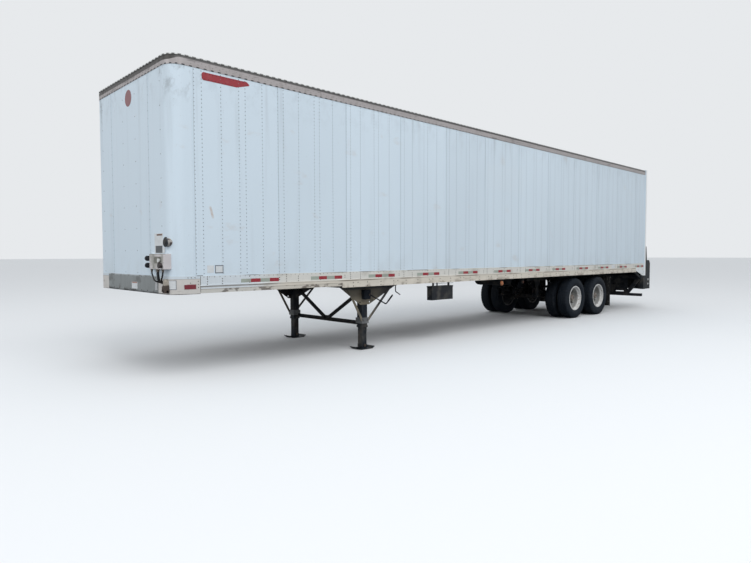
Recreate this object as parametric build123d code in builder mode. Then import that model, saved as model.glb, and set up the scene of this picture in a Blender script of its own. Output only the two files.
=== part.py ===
from build123d import *
import os
from math import sqrt

os.makedirs("parts", exist_ok=True)

# Two-axle dry van semi trailer with a rail lift gate, standing on its landing legs.
# Millimetres, +X forward, +Y the trailer's left side, +Z up, ground at Z = 0.
# Stations along the trailer are distances behind the front face, turned into X by back().

# Overall sizes of the body
body_length = 14630.0
body_width = 2590.0
roof_height = 4050.0
roof_crown = 14.0
roof_flat_share = 0.6
corner_radius = 190.0
corner_panel = 280.0
wall_thickness = 36.0
skin_lap = 4.0
nose_reach = 120.0
gate_reach = 400.0

# Rails and floor
rail_bottom = 1100.0
rail_top = 1316.0
rail_web = 12.0
rail_flange = 60.0
flange_thickness = 6.0
lip_reach = 6.0
lip_height = 1186.0
lip_thickness = 14.0
rail_front = 372.0
raised_length = 2450.0
raised_height = 42.0
floor_top = 1236.0
floor_thickness = 35.0
top_rail_height = 130.0
wall_drop = 100.0
band_drop = 12.0
band_height = 26.0
band_depth = 9.0

# Cross members under the floor
member_pitch = 305.0
member_flange = 60.0
member_flange_thickness = 8.0
member_web = 6.0
member_first = 1830.0
member_rear_gap = 280.0

# Front lower plates, coupler and kingpin
apron_bottom = 1086.0
casting_width = 410.0
coupler_bottom = 1128.0
coupler_thickness = 12.0
coupler_half_width = 1000.0
coupler_length = 1650.0
coupler_channels = (-700.0, -240.0, 240.0, 700.0)
coupler_channel_wall = 8.0
coupler_channel_width = 80.0
kingpin_station = 915.0
kingpin_neck_radius = 25.4
kingpin_head_radius = 35.7
kingpin_shoulder = 32.0
kingpin_neck_end = 68.0
kingpin_length = 84.0
kingpin_chamfer = 6.0
kingpin_collar_radius = 60.0
kingpin_collar_clearance = 0.3
kingpin_flange_radius = 95.0
kingpin_flange_thickness = 10.0

# Rear frame and roll-up door
post_depth = 130.0
post_width = 100.0
post_bottom = 955.0
gusset_length = 560.0
gusset_toe = 70.0
gusset_front_drop = 76.0
header_height = 160.0
sill_bottom = 1090.0
sill_depth = 150.0
door_thickness = 40.0
door_setback = 90.0
door_panels = 9
door_groove = 8.0
door_gap = 3.0
latch_width = 170.0
latch_height = 110.0
latch_reach = 14.0
latch_lift = 95.0

# Lift gate: columns, runner and platform
column_width = 84.0
column_depth = 84.0
column_bottom = 550.0
column_top = 2300.0
column_slot = 36.0
column_slot_depth = 52.0
column_setback = 5.0
column_leg_lead = 50.0
tongue_gap = 10.0
gate_clearance = 0.4
runner_width = 62.0
runner_depth = 60.0
runner_gap = 15.0
runner_top = 1250.0
runner_foot = 50.0
pivot_height = 600.0
pivot_offset = 30.0
pivot_radius = 14.0
pivot_clearance = 0.3
knuckle_radius = 24.0
knuckle_width = 60.0
knuckle_bar = 16.0
knuckle_stations = (-900.0, -300.0, 300.0, 900.0)
lug_width = 20.0
side_plate_face = 1262.0
side_plate_thickness = 10.0
side_plate_top = 1410.0
side_plate_hole = 34.0
side_plate_hole_heights = (700.0, 830.0)
side_plate_hole_setback = 110.0
side_plate_slope = (70.0, 90.0)  # along the trailer, upward
platform_half_width = 1255.0
platform_height = 1240.0
platform_root = 90.0
platform_tip = 18.0
platform_taper_start = 0.55
platform_drop = 20.0
platform_standoff = 30.0
platform_deck = 10.0
platform_rib = 12.0
platform_edge = 40.0
platform_bays = 6

# Underride guard between the gate columns, and the battery box
guard_bottom = 340.0
guard_height = 80.0
guard_depth = 90.0
guard_half_length = 1270.0
guard_beam_bottom = 860.0
guard_beam_top = 950.0
guard_panel_half = 835.0
guard_panel_thickness = 10.0
guard_strut_foot = 60.0
guard_strut_head = (20.0, 170.0)
guard_strut_depth = 60.0
guard_brace_width = 45.0
guard_brace_foot = 70.0
guard_brace_reach = (360.0, 520.0)
guard_brace_inset = 50.0
guard_slot_height = 26.0
guard_slots = (  # centre Y, centre Z, length
    (-700.0, 690.0, 90.0), (-560.0, 690.0, 60.0), (-420.0, 690.0, 110.0), (-600.0, 470.0, 240.0),
    (700.0, 690.0, 90.0), (560.0, 690.0, 60.0), (420.0, 690.0, 110.0), (600.0, 470.0, 240.0),
)
battery_station = 4900.0
battery_length = 600.0
battery_depth = 120.0
battery_inset = 20.0
battery_bottom = 748.0
battery_top = 1005.0
battery_lid = 24.0
battery_lid_lap = 5.0
hanger_strap = 40.0
hanger_strap_depth = 50.0
hanger_strap_thickness = 10.0
hanger_strap_insets = (60.0, 500.0)

# Landing gear
leg_station = 3455.0
leg_spacing = 1930.0
leg_tube = 120.0
leg_inner_tube = 104.0
leg_tube_bottom = 360.0
leg_plate = 150.0
ring_lap = 7.0
ring_height = 34.0
collar_bottom = 430.0
collar_top = 525.0
collar_lap = 18.0
foot_length = 330.0
foot_width = 260.0
foot_flat = 230.0
foot_rise = 30.0
foot_thickness = 10.0
foot_ear = 8.0
foot_ear_length = 100.0
foot_ear_height = 80.0
foot_pin_radius = 14.0
wing_top_front = 2920.0
wing_top_rear = 4190.0
wing_bottom = 747.0
wing_top = 1100.0
wing_thickness = 8.0
wing_toe = 100.0
wing_flange = 50.0
wing_flange_drop = 55.0
wing_hole_radius = 13.0
wing_hole_offset = 108.0
wing_hole_height = 790.0
strut_width = 42.0
strut_thickness = 8.0
struts = (  # top station, bottom station, bottom height
    (3060.0, 3392.0, 480.0), (4090.0, 3518.0, 480.0),
)
strut_top = 1058.0
gearbox_width = 150.0
gearbox_depth = 62.0
gearbox_bottom = 840.0
gearbox_top = 1000.0
gearbox_rounding = 14.0
crank_radius = 11.0
crank_standoff = 16.0
crank_route = (  # station, height
    (3500.0, 915.0), (3880.0, 735.0), (4040.0, 885.0),
)
crank_bend = 40.0
crank_hook = (  # station, height
    (4155.0, 1045.0), (4155.0, 938.0), (4269.0, 877.0),
)
crank_hook_radius = 9.0
crank_hook_bend = 25.0
cross_bar_height = 430.0
cross_bar_leg = 60.0
cross_bar_wall = 8.0
brace_height = 960.0
brace_width = 60.0
brace_foot = 60.0
brace_thickness = 40.0
shaft_height = 1012.0
shaft_radius = 13.0
shaft_offset = 30.0

# Running gear
axle_setback = 4242.0
axle_pitch = 1245.0
tyre_radius = 498.5
tyre_width = 275.0
tyre_outer_face = 1275.0
dual_spacing = 330.0
tyre_wall = (  # across from the tyre's middle, radius
    (105.0, 301.0), (130.0, 340.0), (137.5, 392.0), (134.0, 434.0), (122.0, 472.0),
    (104.0, 493.5), (62.0, 498.5),
)
bead_radius = 286.0
rim_flange_radius = 301.0
rim_half_width = 105.0
rim_wall = 9.0
rim_seat_half = 68.0
rim_seat_radius = 276.0
rim_well_half = 42.0
rim_well_radius = 252.0
disc_thickness = 12.0
disc_flat_radius = 178.0
disc_join = 46.0
hand_holes = 5
hand_hole_radius = 27.0
hand_hole_circle = 212.0
hub_inner_end = 790.0
hub_barrel_radius = 95.0
hub_flange_radius = 166.0
hub_flange_thickness = 22.0
hub_pilot_radius = 110.0
hub_pilot_reach = 26.0
hub_nose_radius = 88.0
hub_nose_reach = 132.0
hub_cap_radius = 70.0
hub_cap_reach = 1190.0
hub_cap_flange = 10.0
hub_cap_chamfer = 14.0
drum_radius = 222.0
drum_wall = 16.0
drum_inner = 705.0
drum_taper = 72.0
drum_end_radius = 176.0
spindle_radius = 38.0
spindle_end = 1045.0
spindle_clearance = 0.3
shield_radius = 208.0
shield_thickness = 10.0
shield_gap = 7.0
axle_tube_radius = 63.5
seat_length = 180.0
seat_lift = 20.0
seat_embed = 24.0
spring_track = 1000.0
spring_width = 76.0
spring_rise = 70.0
leaf_thickness = 14.0
leaf_half_lengths = (590.0, 560.0, 430.0, 290.0)
clip_plate = 20.0
clip_saddle = 12.0
clip_bar = 20.0
clip_bar_inset = 20.0
clip_plate_reach = (98.0, 72.0)  # ahead of the axle, beside the spring
frame_lead = 1088.0
frame_tail = 2262.0
frame_height = 170.0
frame_width = 104.0
frame_web = 8.0
frame_cross_height = 110.0
frame_cross_flange = 70.0
frame_cross_drop = 20.0
frame_cross_insets = (100.0, 100.0)
hanger_plate = 8.0
hanger_top_length = 270.0
hanger_bottom_length = 110.0
hanger_bottom = 490.0
hanger_pad_length = 90.0
hanger_pad_height = 36.0
rocker_half = 150.0
rocker_end = 34.0
rocker_rise = 100.0
rocker_width = 74.0
rocker_pin_radius = 18.0
arm_radius = 21.0
arm_eye_radius = 32.0
arm_eye_width = 84.0
arm_height = 535.0
arm_bolt_radius = 12.0
arm_bolt_clearance = 0.3
chamber_offset = 330.0
chamber_lift = 112.0
chamber_face = 130.0
chamber_profile = (  # ahead of the face, radius
    (0.0, 0.0), (0.0, 68.0), (14.0, 82.0), (60.0, 84.0), (60.0, 92.0), (76.0, 92.0),
    (76.0, 78.0), (150.0, 78.0), (176.0, 52.0), (176.0, 0.0),
)
pushrod_radius = 9.0
slack_station = 116.0
slack_width = 24.0
slack_length = 44.0
cam_radius = 19.0
cam_drop = 16.0
cam_inner_end = 296.0
chamber_bracket = 8.0
chamber_bracket_offset = 46.0
tank_radius = 120.0
tank_end = (  # along from the middle, radius
    (320.0, 120.0), (350.0, 105.0), (372.0, 70.0), (380.0, 0.0),
)
tank_lead = 1888.0
tank_pitch = 320.0
tank_strap_offset = 240.0
tank_strap_width = 44.0
tank_strap_thickness = 5.0
tank_drop = 14.0
flap_gap = 627.0
flap_inner = 640.0
flap_outer = 1285.0
flap_bottom = 194.0
flap_top = 950.0
flap_thickness = 10.0
flap_bracket = 40.0

# Front fittings
nose_box_width = 500.0
nose_box_depth = 70.0
nose_box_taper = 90.0
corner_reach = 60.0
nose_box_bottom = 1405.0
nose_box_top = 1590.0
nose_box_centre = 950.0
sockets = (  # Y, Z, radius, reach
    (1160.0, 1452.0, 31.0, 44.0),
    (1095.0, 1515.0, 22.0, 22.0),
)
socket_lid = 8.0
socket_lid_lap = 4.0
box_lid = 8.0
gladhand_heights = (45.0, 135.0)
gladhand_radius = 34.0
gladhand_face = 46.0
gladhand_seal_radius = 20.0
gladhand_seal_width = 48.0
gladhand_bracket = 10.0
hose_standoff = 54.0
hose_bends = (70.0, 50.0)
hose_fall = 110.0
hose_routes = (  # top Y, lower Y, lower Z, radius
    (820.0, 905.0, 1240.0, 9.0),
    (1005.0, 1030.0, 1235.0, 16.0),
    (1150.0, 1080.0, 1240.0, 9.0),
)
canister_centre = 1163.0
canister_height = 1740.0
canister_radius = 54.0
canister_reach = 25.0
canister_cap = 12.0
canister_cap_lap = 4.0
fitting_centre = 1160.0
fitting_width = 100.0
fitting_depth = 60.0
fitting_height = 170.0
fitting_lift = 10.0
fitting_neck = 20.0

# Lamps
marker_station = 7940.0
marker_height = 985.0
marker_radius = 30.0
marker_reach = 28.0
marker_bracket = 6.0
rear_lamp_radius = 44.0
rear_lamp_reach = 3.0
rear_lamp_pocket = 60.0
rear_lamp_heights = (1020.0, 1150.0)
header_lamps = (-1200.0, -160.0, 0.0, 160.0, 1200.0)
header_lamp_drop = 75.0
header_lamp_reach = 22.0
header_lamp_half = 50.0
header_lamp_rise = 16.0

front_x = (body_length + gate_reach + nose_reach) / 2 - nose_reach
half_width = body_width / 2
rail_face = half_width - lip_reach
wall_face = rail_face - skin_lap
wall_inner = wall_face - wall_thickness
floor_bottom = floor_top - floor_thickness
floor_inset = skin_lap + wall_thickness
top_rail_bottom = roof_height - top_rail_height
wall_top = roof_height - wall_drop
band_top = roof_height - band_drop
band_bottom = band_top - band_height
header_bottom = roof_height - header_height
header_lamp_height = roof_height - header_lamp_drop
rear_inner = body_length - post_depth
door_station = body_length - door_setback
axle_station = body_length - axle_setback
wheel_stations = (axle_station, axle_station + axle_pitch)
frame_front = axle_station - frame_lead
frame_rear = axle_station + frame_tail
tank_station = axle_station - tank_lead
flap_station = axle_station + axle_pitch + flap_gap
outer_tyre_centre = tyre_outer_face - tyre_width / 2
inner_tyre_centre = outer_tyre_centre - dual_spacing


def back(station):
    """X of a point that lies station millimetres behind the front face."""
    return front_x - station


def block(x0, x1, y0, y1, z0, z1, mode=Mode.ADD):
    """A box between two limits on each axis."""
    with Locations(((x0 + x1) / 2, (y0 + y1) / 2, (z0 + z1) / 2)):
        Box(abs(x1 - x0), abs(y1 - y0), abs(z1 - z0), mode=mode)


def prism(plane, points, amount, mode=Mode.ADD):
    """A polygon on a plane, pushed along the plane's normal."""
    with BuildSketch(plane) as outline:
        Polygon(*points, align=None)
    extrude(outline.sketch, amount=amount, mode=mode)


def rod(start, end, radius):
    """A round bar between two points."""
    run = Vector(*end) - Vector(*start)
    with BuildSketch(Plane(origin=start, z_dir=run)) as section:
        Circle(radius)
    extrude(section.sketch, amount=run.length)


def bar_between(plane, start, end, width, amount):
    """A flat bar between two points on a plane, pushed along the plane's normal."""
    run = Vector(*end) - Vector(*start)
    across = Vector(-run.Y, run.X).normalized() * (width / 2)
    corners = (Vector(*start) + across, Vector(*start) - across,
               Vector(*end) - across, Vector(*end) + across)
    prism(plane, [(corner.X, corner.Y) for corner in corners], amount)


def front_outline(inset, depth):
    """Plan of the body's front end, with its two rounded corners, drawn inset from its faces."""
    with BuildSketch() as outline:
        with Locations((front_x - (inset + depth) / 2, 0)):
            Rectangle(depth - inset, 2 * (rail_face - inset))
        fillet(outline.vertices().group_by(Axis.X)[-1], corner_radius - inset)
    return outline.sketch


def front_band(bottom, top, outer, inner):
    """A layer of wall that follows the front and both corners."""
    with BuildSketch(Plane.XY.offset(bottom)) as layer:
        add(outer)
        add(inner, mode=Mode.SUBTRACT)
    extrude(layer.sketch, amount=top - bottom)


def fit_to_front(bottom, top, inset):
    """Cut away what lies inside the body's front and its rounded corners."""
    with BuildSketch(Plane.XY.offset(bottom)) as body_plan:
        add(front_outline(inset, corner_panel))
    extrude(body_plan.sketch, amount=top - bottom, mode=Mode.SUBTRACT)


def mirrored(piece):
    """The same piece on the trailer's right side."""
    with BuildPart() as twin:
        mirror(piece.part, about=Plane.XZ)
    return twin


def keep(piece, name):
    """Label a finished piece and write its file."""
    piece.part.label = name
    export_step(piece.part, f"parts/{name}.step")


# Front wall, corner panels and header band
with BuildPart() as front_wall:
    block(front_x - skin_lap - wall_thickness, front_x - skin_lap,
          -(rail_face - corner_panel), rail_face - corner_panel, floor_top, wall_top)
keep(front_wall, "front_wall")

with BuildPart() as front_corner_left:
    corner_outer = front_outline(skin_lap, corner_panel)
    corner_inner = front_outline(skin_lap + wall_thickness, corner_panel + 100)
    front_band(floor_top, wall_top, corner_outer, corner_inner)
    block(back(corner_panel + 10), back(-10), rail_face - corner_panel, half_width,
          floor_top, wall_top, mode=Mode.INTERSECT)
keep(front_corner_left, "front_corner_left")
keep(mirrored(front_corner_left), "front_corner_right")

header_outline = front_outline(0, corner_panel)
header_lap = front_outline(skin_lap, corner_panel + 100)
header_recess = front_outline(band_depth, corner_panel)
header_inner = front_outline(skin_lap + wall_thickness, corner_panel + 100)
with BuildPart() as front_header:
    front_band(top_rail_bottom, wall_top, header_outline, header_lap)
    front_band(wall_top, band_bottom, header_outline, header_inner)
    front_band(band_bottom, band_top, header_recess, header_inner)
    front_band(band_top, roof_height, header_outline, header_inner)
keep(front_header, "front_header")

# Side walls and rails
with BuildPart() as side_wall_left:
    block(back(rear_inner), back(corner_panel), wall_face - wall_thickness, wall_face,
          floor_top, wall_top)
keep(side_wall_left, "side_wall_left")
keep(mirrored(side_wall_left), "side_wall_right")

with BuildPart() as top_rail_left:
    with BuildSketch(Plane.YZ.offset(back(rear_inner))):
        with BuildLine():
            Polyline(
                (rail_face, top_rail_bottom), (rail_face, band_bottom),
                (rail_face - band_depth, band_bottom), (rail_face - band_depth, band_top),
                (rail_face, band_top), (rail_face, roof_height), (wall_inner, roof_height),
                (wall_inner, wall_top), (wall_face, wall_top), (wall_face, top_rail_bottom),
                close=True,
            )
        make_face()
    extrude(amount=rear_inner - corner_panel)
keep(top_rail_left, "top_rail_left")
keep(mirrored(top_rail_left), "top_rail_right")

with BuildPart() as bottom_rail_left:
    with BuildSketch(Plane.YZ.offset(back(rear_inner))):
        with BuildLine():
            Polyline(
                (rail_face, rail_top), (rail_face, lip_height + lip_thickness),
                (half_width, lip_height + lip_thickness / 2), (half_width, lip_height),
                (rail_face, lip_height), (rail_face, rail_bottom),
                (rail_face - rail_flange, rail_bottom),
                (rail_face - rail_flange, rail_bottom + flange_thickness),
                (rail_face - rail_web, rail_bottom + flange_thickness),
                (rail_face - rail_web, floor_bottom), (wall_inner, floor_bottom),
                (wall_inner, floor_top), (wall_face, floor_top),
                (wall_face, rail_top),
                close=True,
            )
        make_face()
    extrude(amount=rear_inner - rail_front)
    block(back(raised_length), back(rail_front), rail_face - rail_flange - 1, half_width + 1,
          rail_bottom, rail_bottom + raised_height, mode=Mode.SUBTRACT)
keep(bottom_rail_left, "bottom_rail_left")
keep(mirrored(bottom_rail_left), "bottom_rail_right")

# Roof: a sheet in three slight slopes between the top rails, rounded at the front corners
with BuildPart() as roof:
    prism(Plane.YZ.offset(back(rear_inner)), (
        (-wall_inner, band_bottom), (wall_inner, band_bottom), (wall_inner, roof_height),
        (wall_inner * roof_flat_share, roof_height + roof_crown),
        (-wall_inner * roof_flat_share, roof_height + roof_crown), (-wall_inner, roof_height)),
        rear_inner - skin_lap - wall_thickness)
    fillet(roof.edges().filter_by(Axis.Z).group_by(Axis.X)[-1],
           corner_radius - skin_lap - wall_thickness)
keep(roof, "roof")

# Floor and cross members
with BuildPart() as floor:
    with BuildSketch(Plane.XY.offset(floor_bottom)):
        add(front_outline(floor_inset, body_length - sill_depth))
    extrude(amount=floor_thickness)
keep(floor, "floor")

member_count = int((body_length - member_rear_gap - member_first) / member_pitch) + 1
member_half = rail_face - rail_web
member_foot = rail_bottom + flange_thickness
member_bottom_raised = rail_bottom + raised_height
with BuildPart() as cross_members:
    for index in range(member_count):
        station = member_first + index * member_pitch
        foot = member_bottom_raised if station < raised_length + member_flange else member_foot
        centre = back(station)
        reach = member_flange / 2
        with BuildSketch(Plane.XZ.offset(-member_half)) as section:
            with BuildLine():
                Polyline(
                    (centre - reach, foot), (centre + reach, foot),
                    (centre + reach, foot + member_flange_thickness),
                    (centre + member_web / 2, foot + member_flange_thickness),
                    (centre + member_web / 2, floor_bottom - member_flange_thickness),
                    (centre + reach, floor_bottom - member_flange_thickness),
                    (centre + reach, floor_bottom), (centre - reach, floor_bottom),
                    (centre - reach, floor_bottom - member_flange_thickness),
                    (centre - member_web / 2, floor_bottom - member_flange_thickness),
                    (centre - member_web / 2, foot + member_flange_thickness),
                    (centre - reach, foot + member_flange_thickness),
                    close=True,
                )
            make_face()
        extrude(amount=2 * member_half)
keep(cross_members, "cross_members")

# Front apron plate and cream corner castings
casting_outline = front_outline(0, rail_front)
casting_deep = front_outline(rail_web, rail_front + 100)
casting_lap = front_outline(skin_lap, rail_front + 100)
casting_ledge = front_outline(floor_inset, rail_front + 100)
with BuildPart() as corner_casting_left:
    front_band(apron_bottom, floor_bottom, casting_outline, casting_deep)
    front_band(floor_bottom, floor_top, casting_outline, casting_ledge)
    front_band(floor_top, rail_top, casting_outline, casting_lap)
    block(back(rail_front + 10), back(-10), half_width - casting_width, half_width,
          apron_bottom, rail_top, mode=Mode.INTERSECT)
keep(corner_casting_left, "corner_casting_left")
keep(mirrored(corner_casting_left), "corner_casting_right")

with BuildPart() as front_apron:
    apron_half = half_width - casting_width
    block(front_x - rail_web, front_x, -apron_half, apron_half, apron_bottom, floor_top)
    block(front_x - floor_inset, front_x - rail_web, -apron_half, apron_half,
          floor_bottom, floor_top)
    block(front_x - skin_lap, front_x, -apron_half, apron_half, floor_top, rail_top)
keep(front_apron, "front_apron")

# Coupler plate on four lengthwise channels, and the kingpin below it
coupler_top = coupler_bottom + coupler_thickness
with BuildPart() as coupler_plate:
    block(back(coupler_length), back(rail_web), -coupler_half_width, coupler_half_width,
          coupler_bottom, coupler_top)
    for channel_y in coupler_channels:
        block(back(coupler_length), back(rail_web), channel_y - coupler_channel_wall / 2,
              channel_y + coupler_channel_wall / 2, coupler_top, floor_bottom)
        block(back(coupler_length), back(rail_web), channel_y - coupler_channel_width / 2,
              channel_y + coupler_channel_width / 2, floor_bottom - coupler_channel_wall,
              floor_bottom)
    with Locations((back(kingpin_station), 0, coupler_bottom + coupler_thickness / 2)):
        Cylinder(kingpin_collar_radius + kingpin_collar_clearance, 2 * coupler_thickness,
                 mode=Mode.SUBTRACT)
keep(coupler_plate, "coupler_plate")

with BuildPart() as kingpin:
    with BuildSketch(Plane.XZ):
        with BuildLine():
            Polyline(
                (0, coupler_thickness + kingpin_flange_thickness),
                (kingpin_flange_radius, coupler_thickness + kingpin_flange_thickness),
                (kingpin_flange_radius, coupler_thickness),
                (kingpin_collar_radius, coupler_thickness), (kingpin_collar_radius, 0),
                (kingpin_head_radius, 0), (kingpin_head_radius, -kingpin_shoulder),
                (kingpin_neck_radius, -kingpin_shoulder),
                (kingpin_neck_radius, -kingpin_neck_end),
                (kingpin_head_radius, -kingpin_neck_end),
                (kingpin_head_radius, -kingpin_length + kingpin_chamfer),
                (kingpin_head_radius - kingpin_chamfer, -kingpin_length), (0, -kingpin_length),
                close=True,
            )
        make_face()
    revolve(axis=Axis.Z)
kingpin.part = kingpin.part.moved(Location((back(kingpin_station), 0, coupler_bottom)))
keep(kingpin, "kingpin")

# Rear frame: two posts, header and sill, with the roll-up door between them
post_inner = half_width - post_width
with BuildPart() as rear_post_left:
    block(back(body_length), back(rear_inner), post_inner, half_width, post_bottom, header_bottom)
    prism(Plane.XZ.offset(-half_width), (
        (back(rear_inner), lip_height), (back(rear_inner - gusset_length), lip_height),
        (back(rear_inner - gusset_length), lip_height - gusset_front_drop),
        (back(rear_inner - gusset_toe), post_bottom), (back(rear_inner), post_bottom)),
        lip_reach)
keep(rear_post_left, "rear_post_left")
keep(mirrored(rear_post_left), "rear_post_right")

with BuildPart() as rear_header:
    block(back(body_length), back(rear_inner), -half_width, half_width, header_bottom,
          roof_height + roof_crown)
keep(rear_header, "rear_header")

column_inner = post_inner - column_width
door_half = column_inner - door_gap
with BuildPart() as rear_sill:
    block(back(body_length), back(body_length - sill_depth), -door_half, door_half,
          sill_bottom, floor_top)
keep(rear_sill, "rear_sill")

door_height = header_bottom - floor_top
with BuildPart() as rear_door:
    block(back(door_station + door_thickness), back(door_station), -door_half, door_half,
          floor_top, header_bottom)
    for index in range(1, door_panels):
        groove = floor_top + index * door_height / door_panels
        block(back(door_station + door_thickness + 1),
              back(door_station + door_thickness - door_groove), -door_half, door_half,
              groove - door_groove / 2, groove + door_groove / 2, mode=Mode.SUBTRACT)
    block(back(door_station + door_thickness + latch_reach), back(door_station + door_thickness),
          -latch_width / 2, latch_width / 2, floor_top + latch_lift,
          floor_top + latch_lift + latch_height)
    for side in (-1, 1):
        block(back(door_station + door_thickness + latch_reach),
              back(door_station + door_thickness), side * latch_width - latch_reach,
              side * latch_width + latch_reach, floor_top + latch_lift,
              floor_top + latch_lift + latch_height)
keep(rear_door, "rear_door")

# Lift gate columns, slotted to the rear, each on a leg below its post
slot_centre = column_inner + column_width / 2
column_rear = body_length - column_setback
column_front = column_rear - column_depth
with BuildPart() as gate_column_left:
    block(back(column_rear), back(column_front), column_inner, post_inner,
          column_bottom, column_top)
    block(back(body_length), back(column_front - column_leg_lead), post_inner, half_width,
          column_bottom, post_bottom)
    block(back(column_rear + 1), back(column_rear - column_slot_depth),
          slot_centre - column_slot / 2, slot_centre + column_slot / 2,
          column_bottom - 1, column_top + 1, mode=Mode.SUBTRACT)
keep(gate_column_left, "gate_column_left")
keep(mirrored(gate_column_left), "gate_column_right")

# Runner: two bars with tongues in the column slots, a cross tube and the hinge pin
runner_front = body_length + runner_gap
runner_rear = runner_front + runner_depth
pivot_station = runner_rear + pivot_offset
tongue_half = column_slot / 2 - gate_clearance
with BuildPart() as gate_runner:
    for side in (-1, 1):
        centre = side * slot_centre
        block(back(runner_rear), back(runner_front), centre - runner_width / 2,
              centre + runner_width / 2, pivot_height - runner_foot, runner_top)
        block(back(runner_front), back(column_rear - column_slot_depth + tongue_gap),
              centre - tongue_half, centre + tongue_half, pivot_height, runner_top)
        plane_y = side_plate_face + side_plate_thickness if side > 0 else -side_plate_face
        prism(Plane.XZ.offset(-plane_y), (
            (back(runner_front), pivot_height - runner_foot),
            (back(body_length + gate_reach), pivot_height - runner_foot),
            (back(body_length + gate_reach), side_plate_top - side_plate_slope[1]),
            (back(body_length + gate_reach - side_plate_slope[0]), side_plate_top),
            (back(runner_front), side_plate_top)), side_plate_thickness)
        for hole_z in side_plate_hole_heights:
            with Locations((back(body_length + gate_reach - side_plate_hole_setback), plane_y,
                            hole_z)):
                Cylinder(side_plate_hole, 4 * side_plate_thickness, rotation=(90, 0, 0),
                         mode=Mode.SUBTRACT)
    block(back(runner_rear), back(runner_front), -side_plate_face, side_plate_face,
          pivot_height - runner_foot, pivot_height + runner_foot)
    for station_y in knuckle_stations:
        for side in (-1, 1):
            lug = station_y + side * (knuckle_width / 2 + gate_clearance + lug_width / 2)
            with Locations((back(pivot_station), lug, pivot_height)):
                Cylinder(knuckle_radius, lug_width, rotation=(90, 0, 0))
            block(back(pivot_station), back(runner_rear), lug - lug_width / 2,
                  lug + lug_width / 2, pivot_height - knuckle_radius,
                  pivot_height + knuckle_radius)
        with Locations((back(pivot_station), station_y, pivot_height)):
            Cylinder(pivot_radius, knuckle_width + 2 * lug_width, rotation=(90, 0, 0))
keep(gate_runner, "gate_runner")

platform_front = pivot_station + platform_standoff
with BuildPart() as gate_platform:
    prism(Plane.XZ.offset(-platform_half_width), (
        (back(platform_front), pivot_height - platform_drop),
        (back(platform_front + platform_root), pivot_height - platform_drop),
        (back(platform_front + platform_root),
         pivot_height + platform_height * platform_taper_start),
        (back(platform_front + platform_tip), pivot_height + platform_height - platform_drop),
        (back(platform_front), pivot_height + platform_height - platform_drop)),
        2 * platform_half_width)
    bay_pitch = (2 * platform_half_width - 2 * platform_edge + platform_rib) / platform_bays
    for bay in range(platform_bays):
        bay_start = -platform_half_width + platform_edge + bay * bay_pitch
        block(back(platform_front + platform_root + 1), back(platform_front + platform_deck),
              bay_start, bay_start + bay_pitch - platform_rib, pivot_height + platform_root,
              pivot_height + platform_height - platform_drop - platform_root,
              mode=Mode.SUBTRACT)
    for station_y in knuckle_stations:
        with Locations((back(pivot_station), station_y, pivot_height)):
            Cylinder(knuckle_radius, knuckle_width, rotation=(90, 0, 0))
        block(back(platform_front + 1), back(pivot_station), station_y - knuckle_width / 2,
              station_y + knuckle_width / 2, pivot_height - knuckle_bar,
              pivot_height + knuckle_bar)
        with Locations((back(pivot_station), station_y, pivot_height)):
            Cylinder(pivot_radius + pivot_clearance, knuckle_width + 10, rotation=(90, 0, 0),
                     mode=Mode.SUBTRACT)
keep(gate_platform, "gate_platform")

# Underride guard: bar, beam, slotted panel and corner braces, carried by the column legs
guard_rear = column_front - column_leg_lead
guard_front = guard_rear - guard_depth
with BuildPart() as underride_guard:
    block(back(guard_rear), back(guard_front), -guard_half_length, guard_half_length,
          guard_bottom, guard_bottom + guard_height)
    block(back(guard_rear), back(guard_front), -guard_half_length, guard_half_length,
          guard_beam_bottom, guard_beam_top)
    block(back(guard_rear), back(guard_rear - guard_panel_thickness), -guard_panel_half,
          guard_panel_half, guard_bottom + guard_height, guard_beam_bottom)
    for slot_y, slot_z, slot_length in guard_slots:
        block(back(guard_rear + 1), back(guard_rear - guard_panel_thickness - 1),
              slot_y - slot_length / 2, slot_y + slot_length / 2,
              slot_z - guard_slot_height / 2, slot_z + guard_slot_height / 2,
              mode=Mode.SUBTRACT)
    for side in (-1, 1):
        prism(Plane.YZ.offset(back(guard_rear)), (
            (side * (guard_panel_half - guard_strut_foot), guard_bottom + guard_height),
            (side * (guard_panel_half + guard_strut_foot), guard_bottom + guard_height),
            (side * (guard_half_length - guard_strut_head[0]), guard_beam_bottom),
            (side * (guard_half_length - guard_strut_head[1]), guard_beam_bottom)),
            guard_strut_depth)
        brace_face = half_width - guard_brace_inset
        brace_outer = brace_face if side > 0 else guard_brace_width - brace_face
        prism(Plane.XZ.offset(-brace_outer), (
            (back(guard_front), guard_beam_bottom + guard_brace_foot),
            (back(guard_front), guard_beam_bottom),
            (back(guard_front - guard_brace_reach[1]), rail_bottom),
            (back(guard_front - guard_brace_reach[0]), rail_bottom)), guard_brace_width)
keep(underride_guard, "underride_guard")

with BuildPart() as battery_box:
    box_outer = half_width - battery_inset
    block(back(battery_station + battery_length), back(battery_station),
          box_outer - battery_depth, box_outer, battery_bottom, battery_top - battery_lid)
    block(back(battery_station + battery_length + battery_lid_lap),
          back(battery_station - battery_lid_lap), box_outer - battery_depth - battery_lid_lap,
          box_outer + battery_lid_lap, battery_top - battery_lid, battery_top)
    for inset in hanger_strap_insets:
        block(back(battery_station + inset + hanger_strap), back(battery_station + inset),
              box_outer - hanger_strap_depth,
              box_outer - hanger_strap_depth + hanger_strap_thickness, battery_top, rail_bottom)
keep(battery_box, "battery_box")

# Landing gear: leg with its collar, ring and pinned foot, the gearbox on the left one alone
leg_half = leg_spacing / 2
wing_face = leg_half + leg_tube / 2
gear_face = wing_face + wing_thickness


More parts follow.
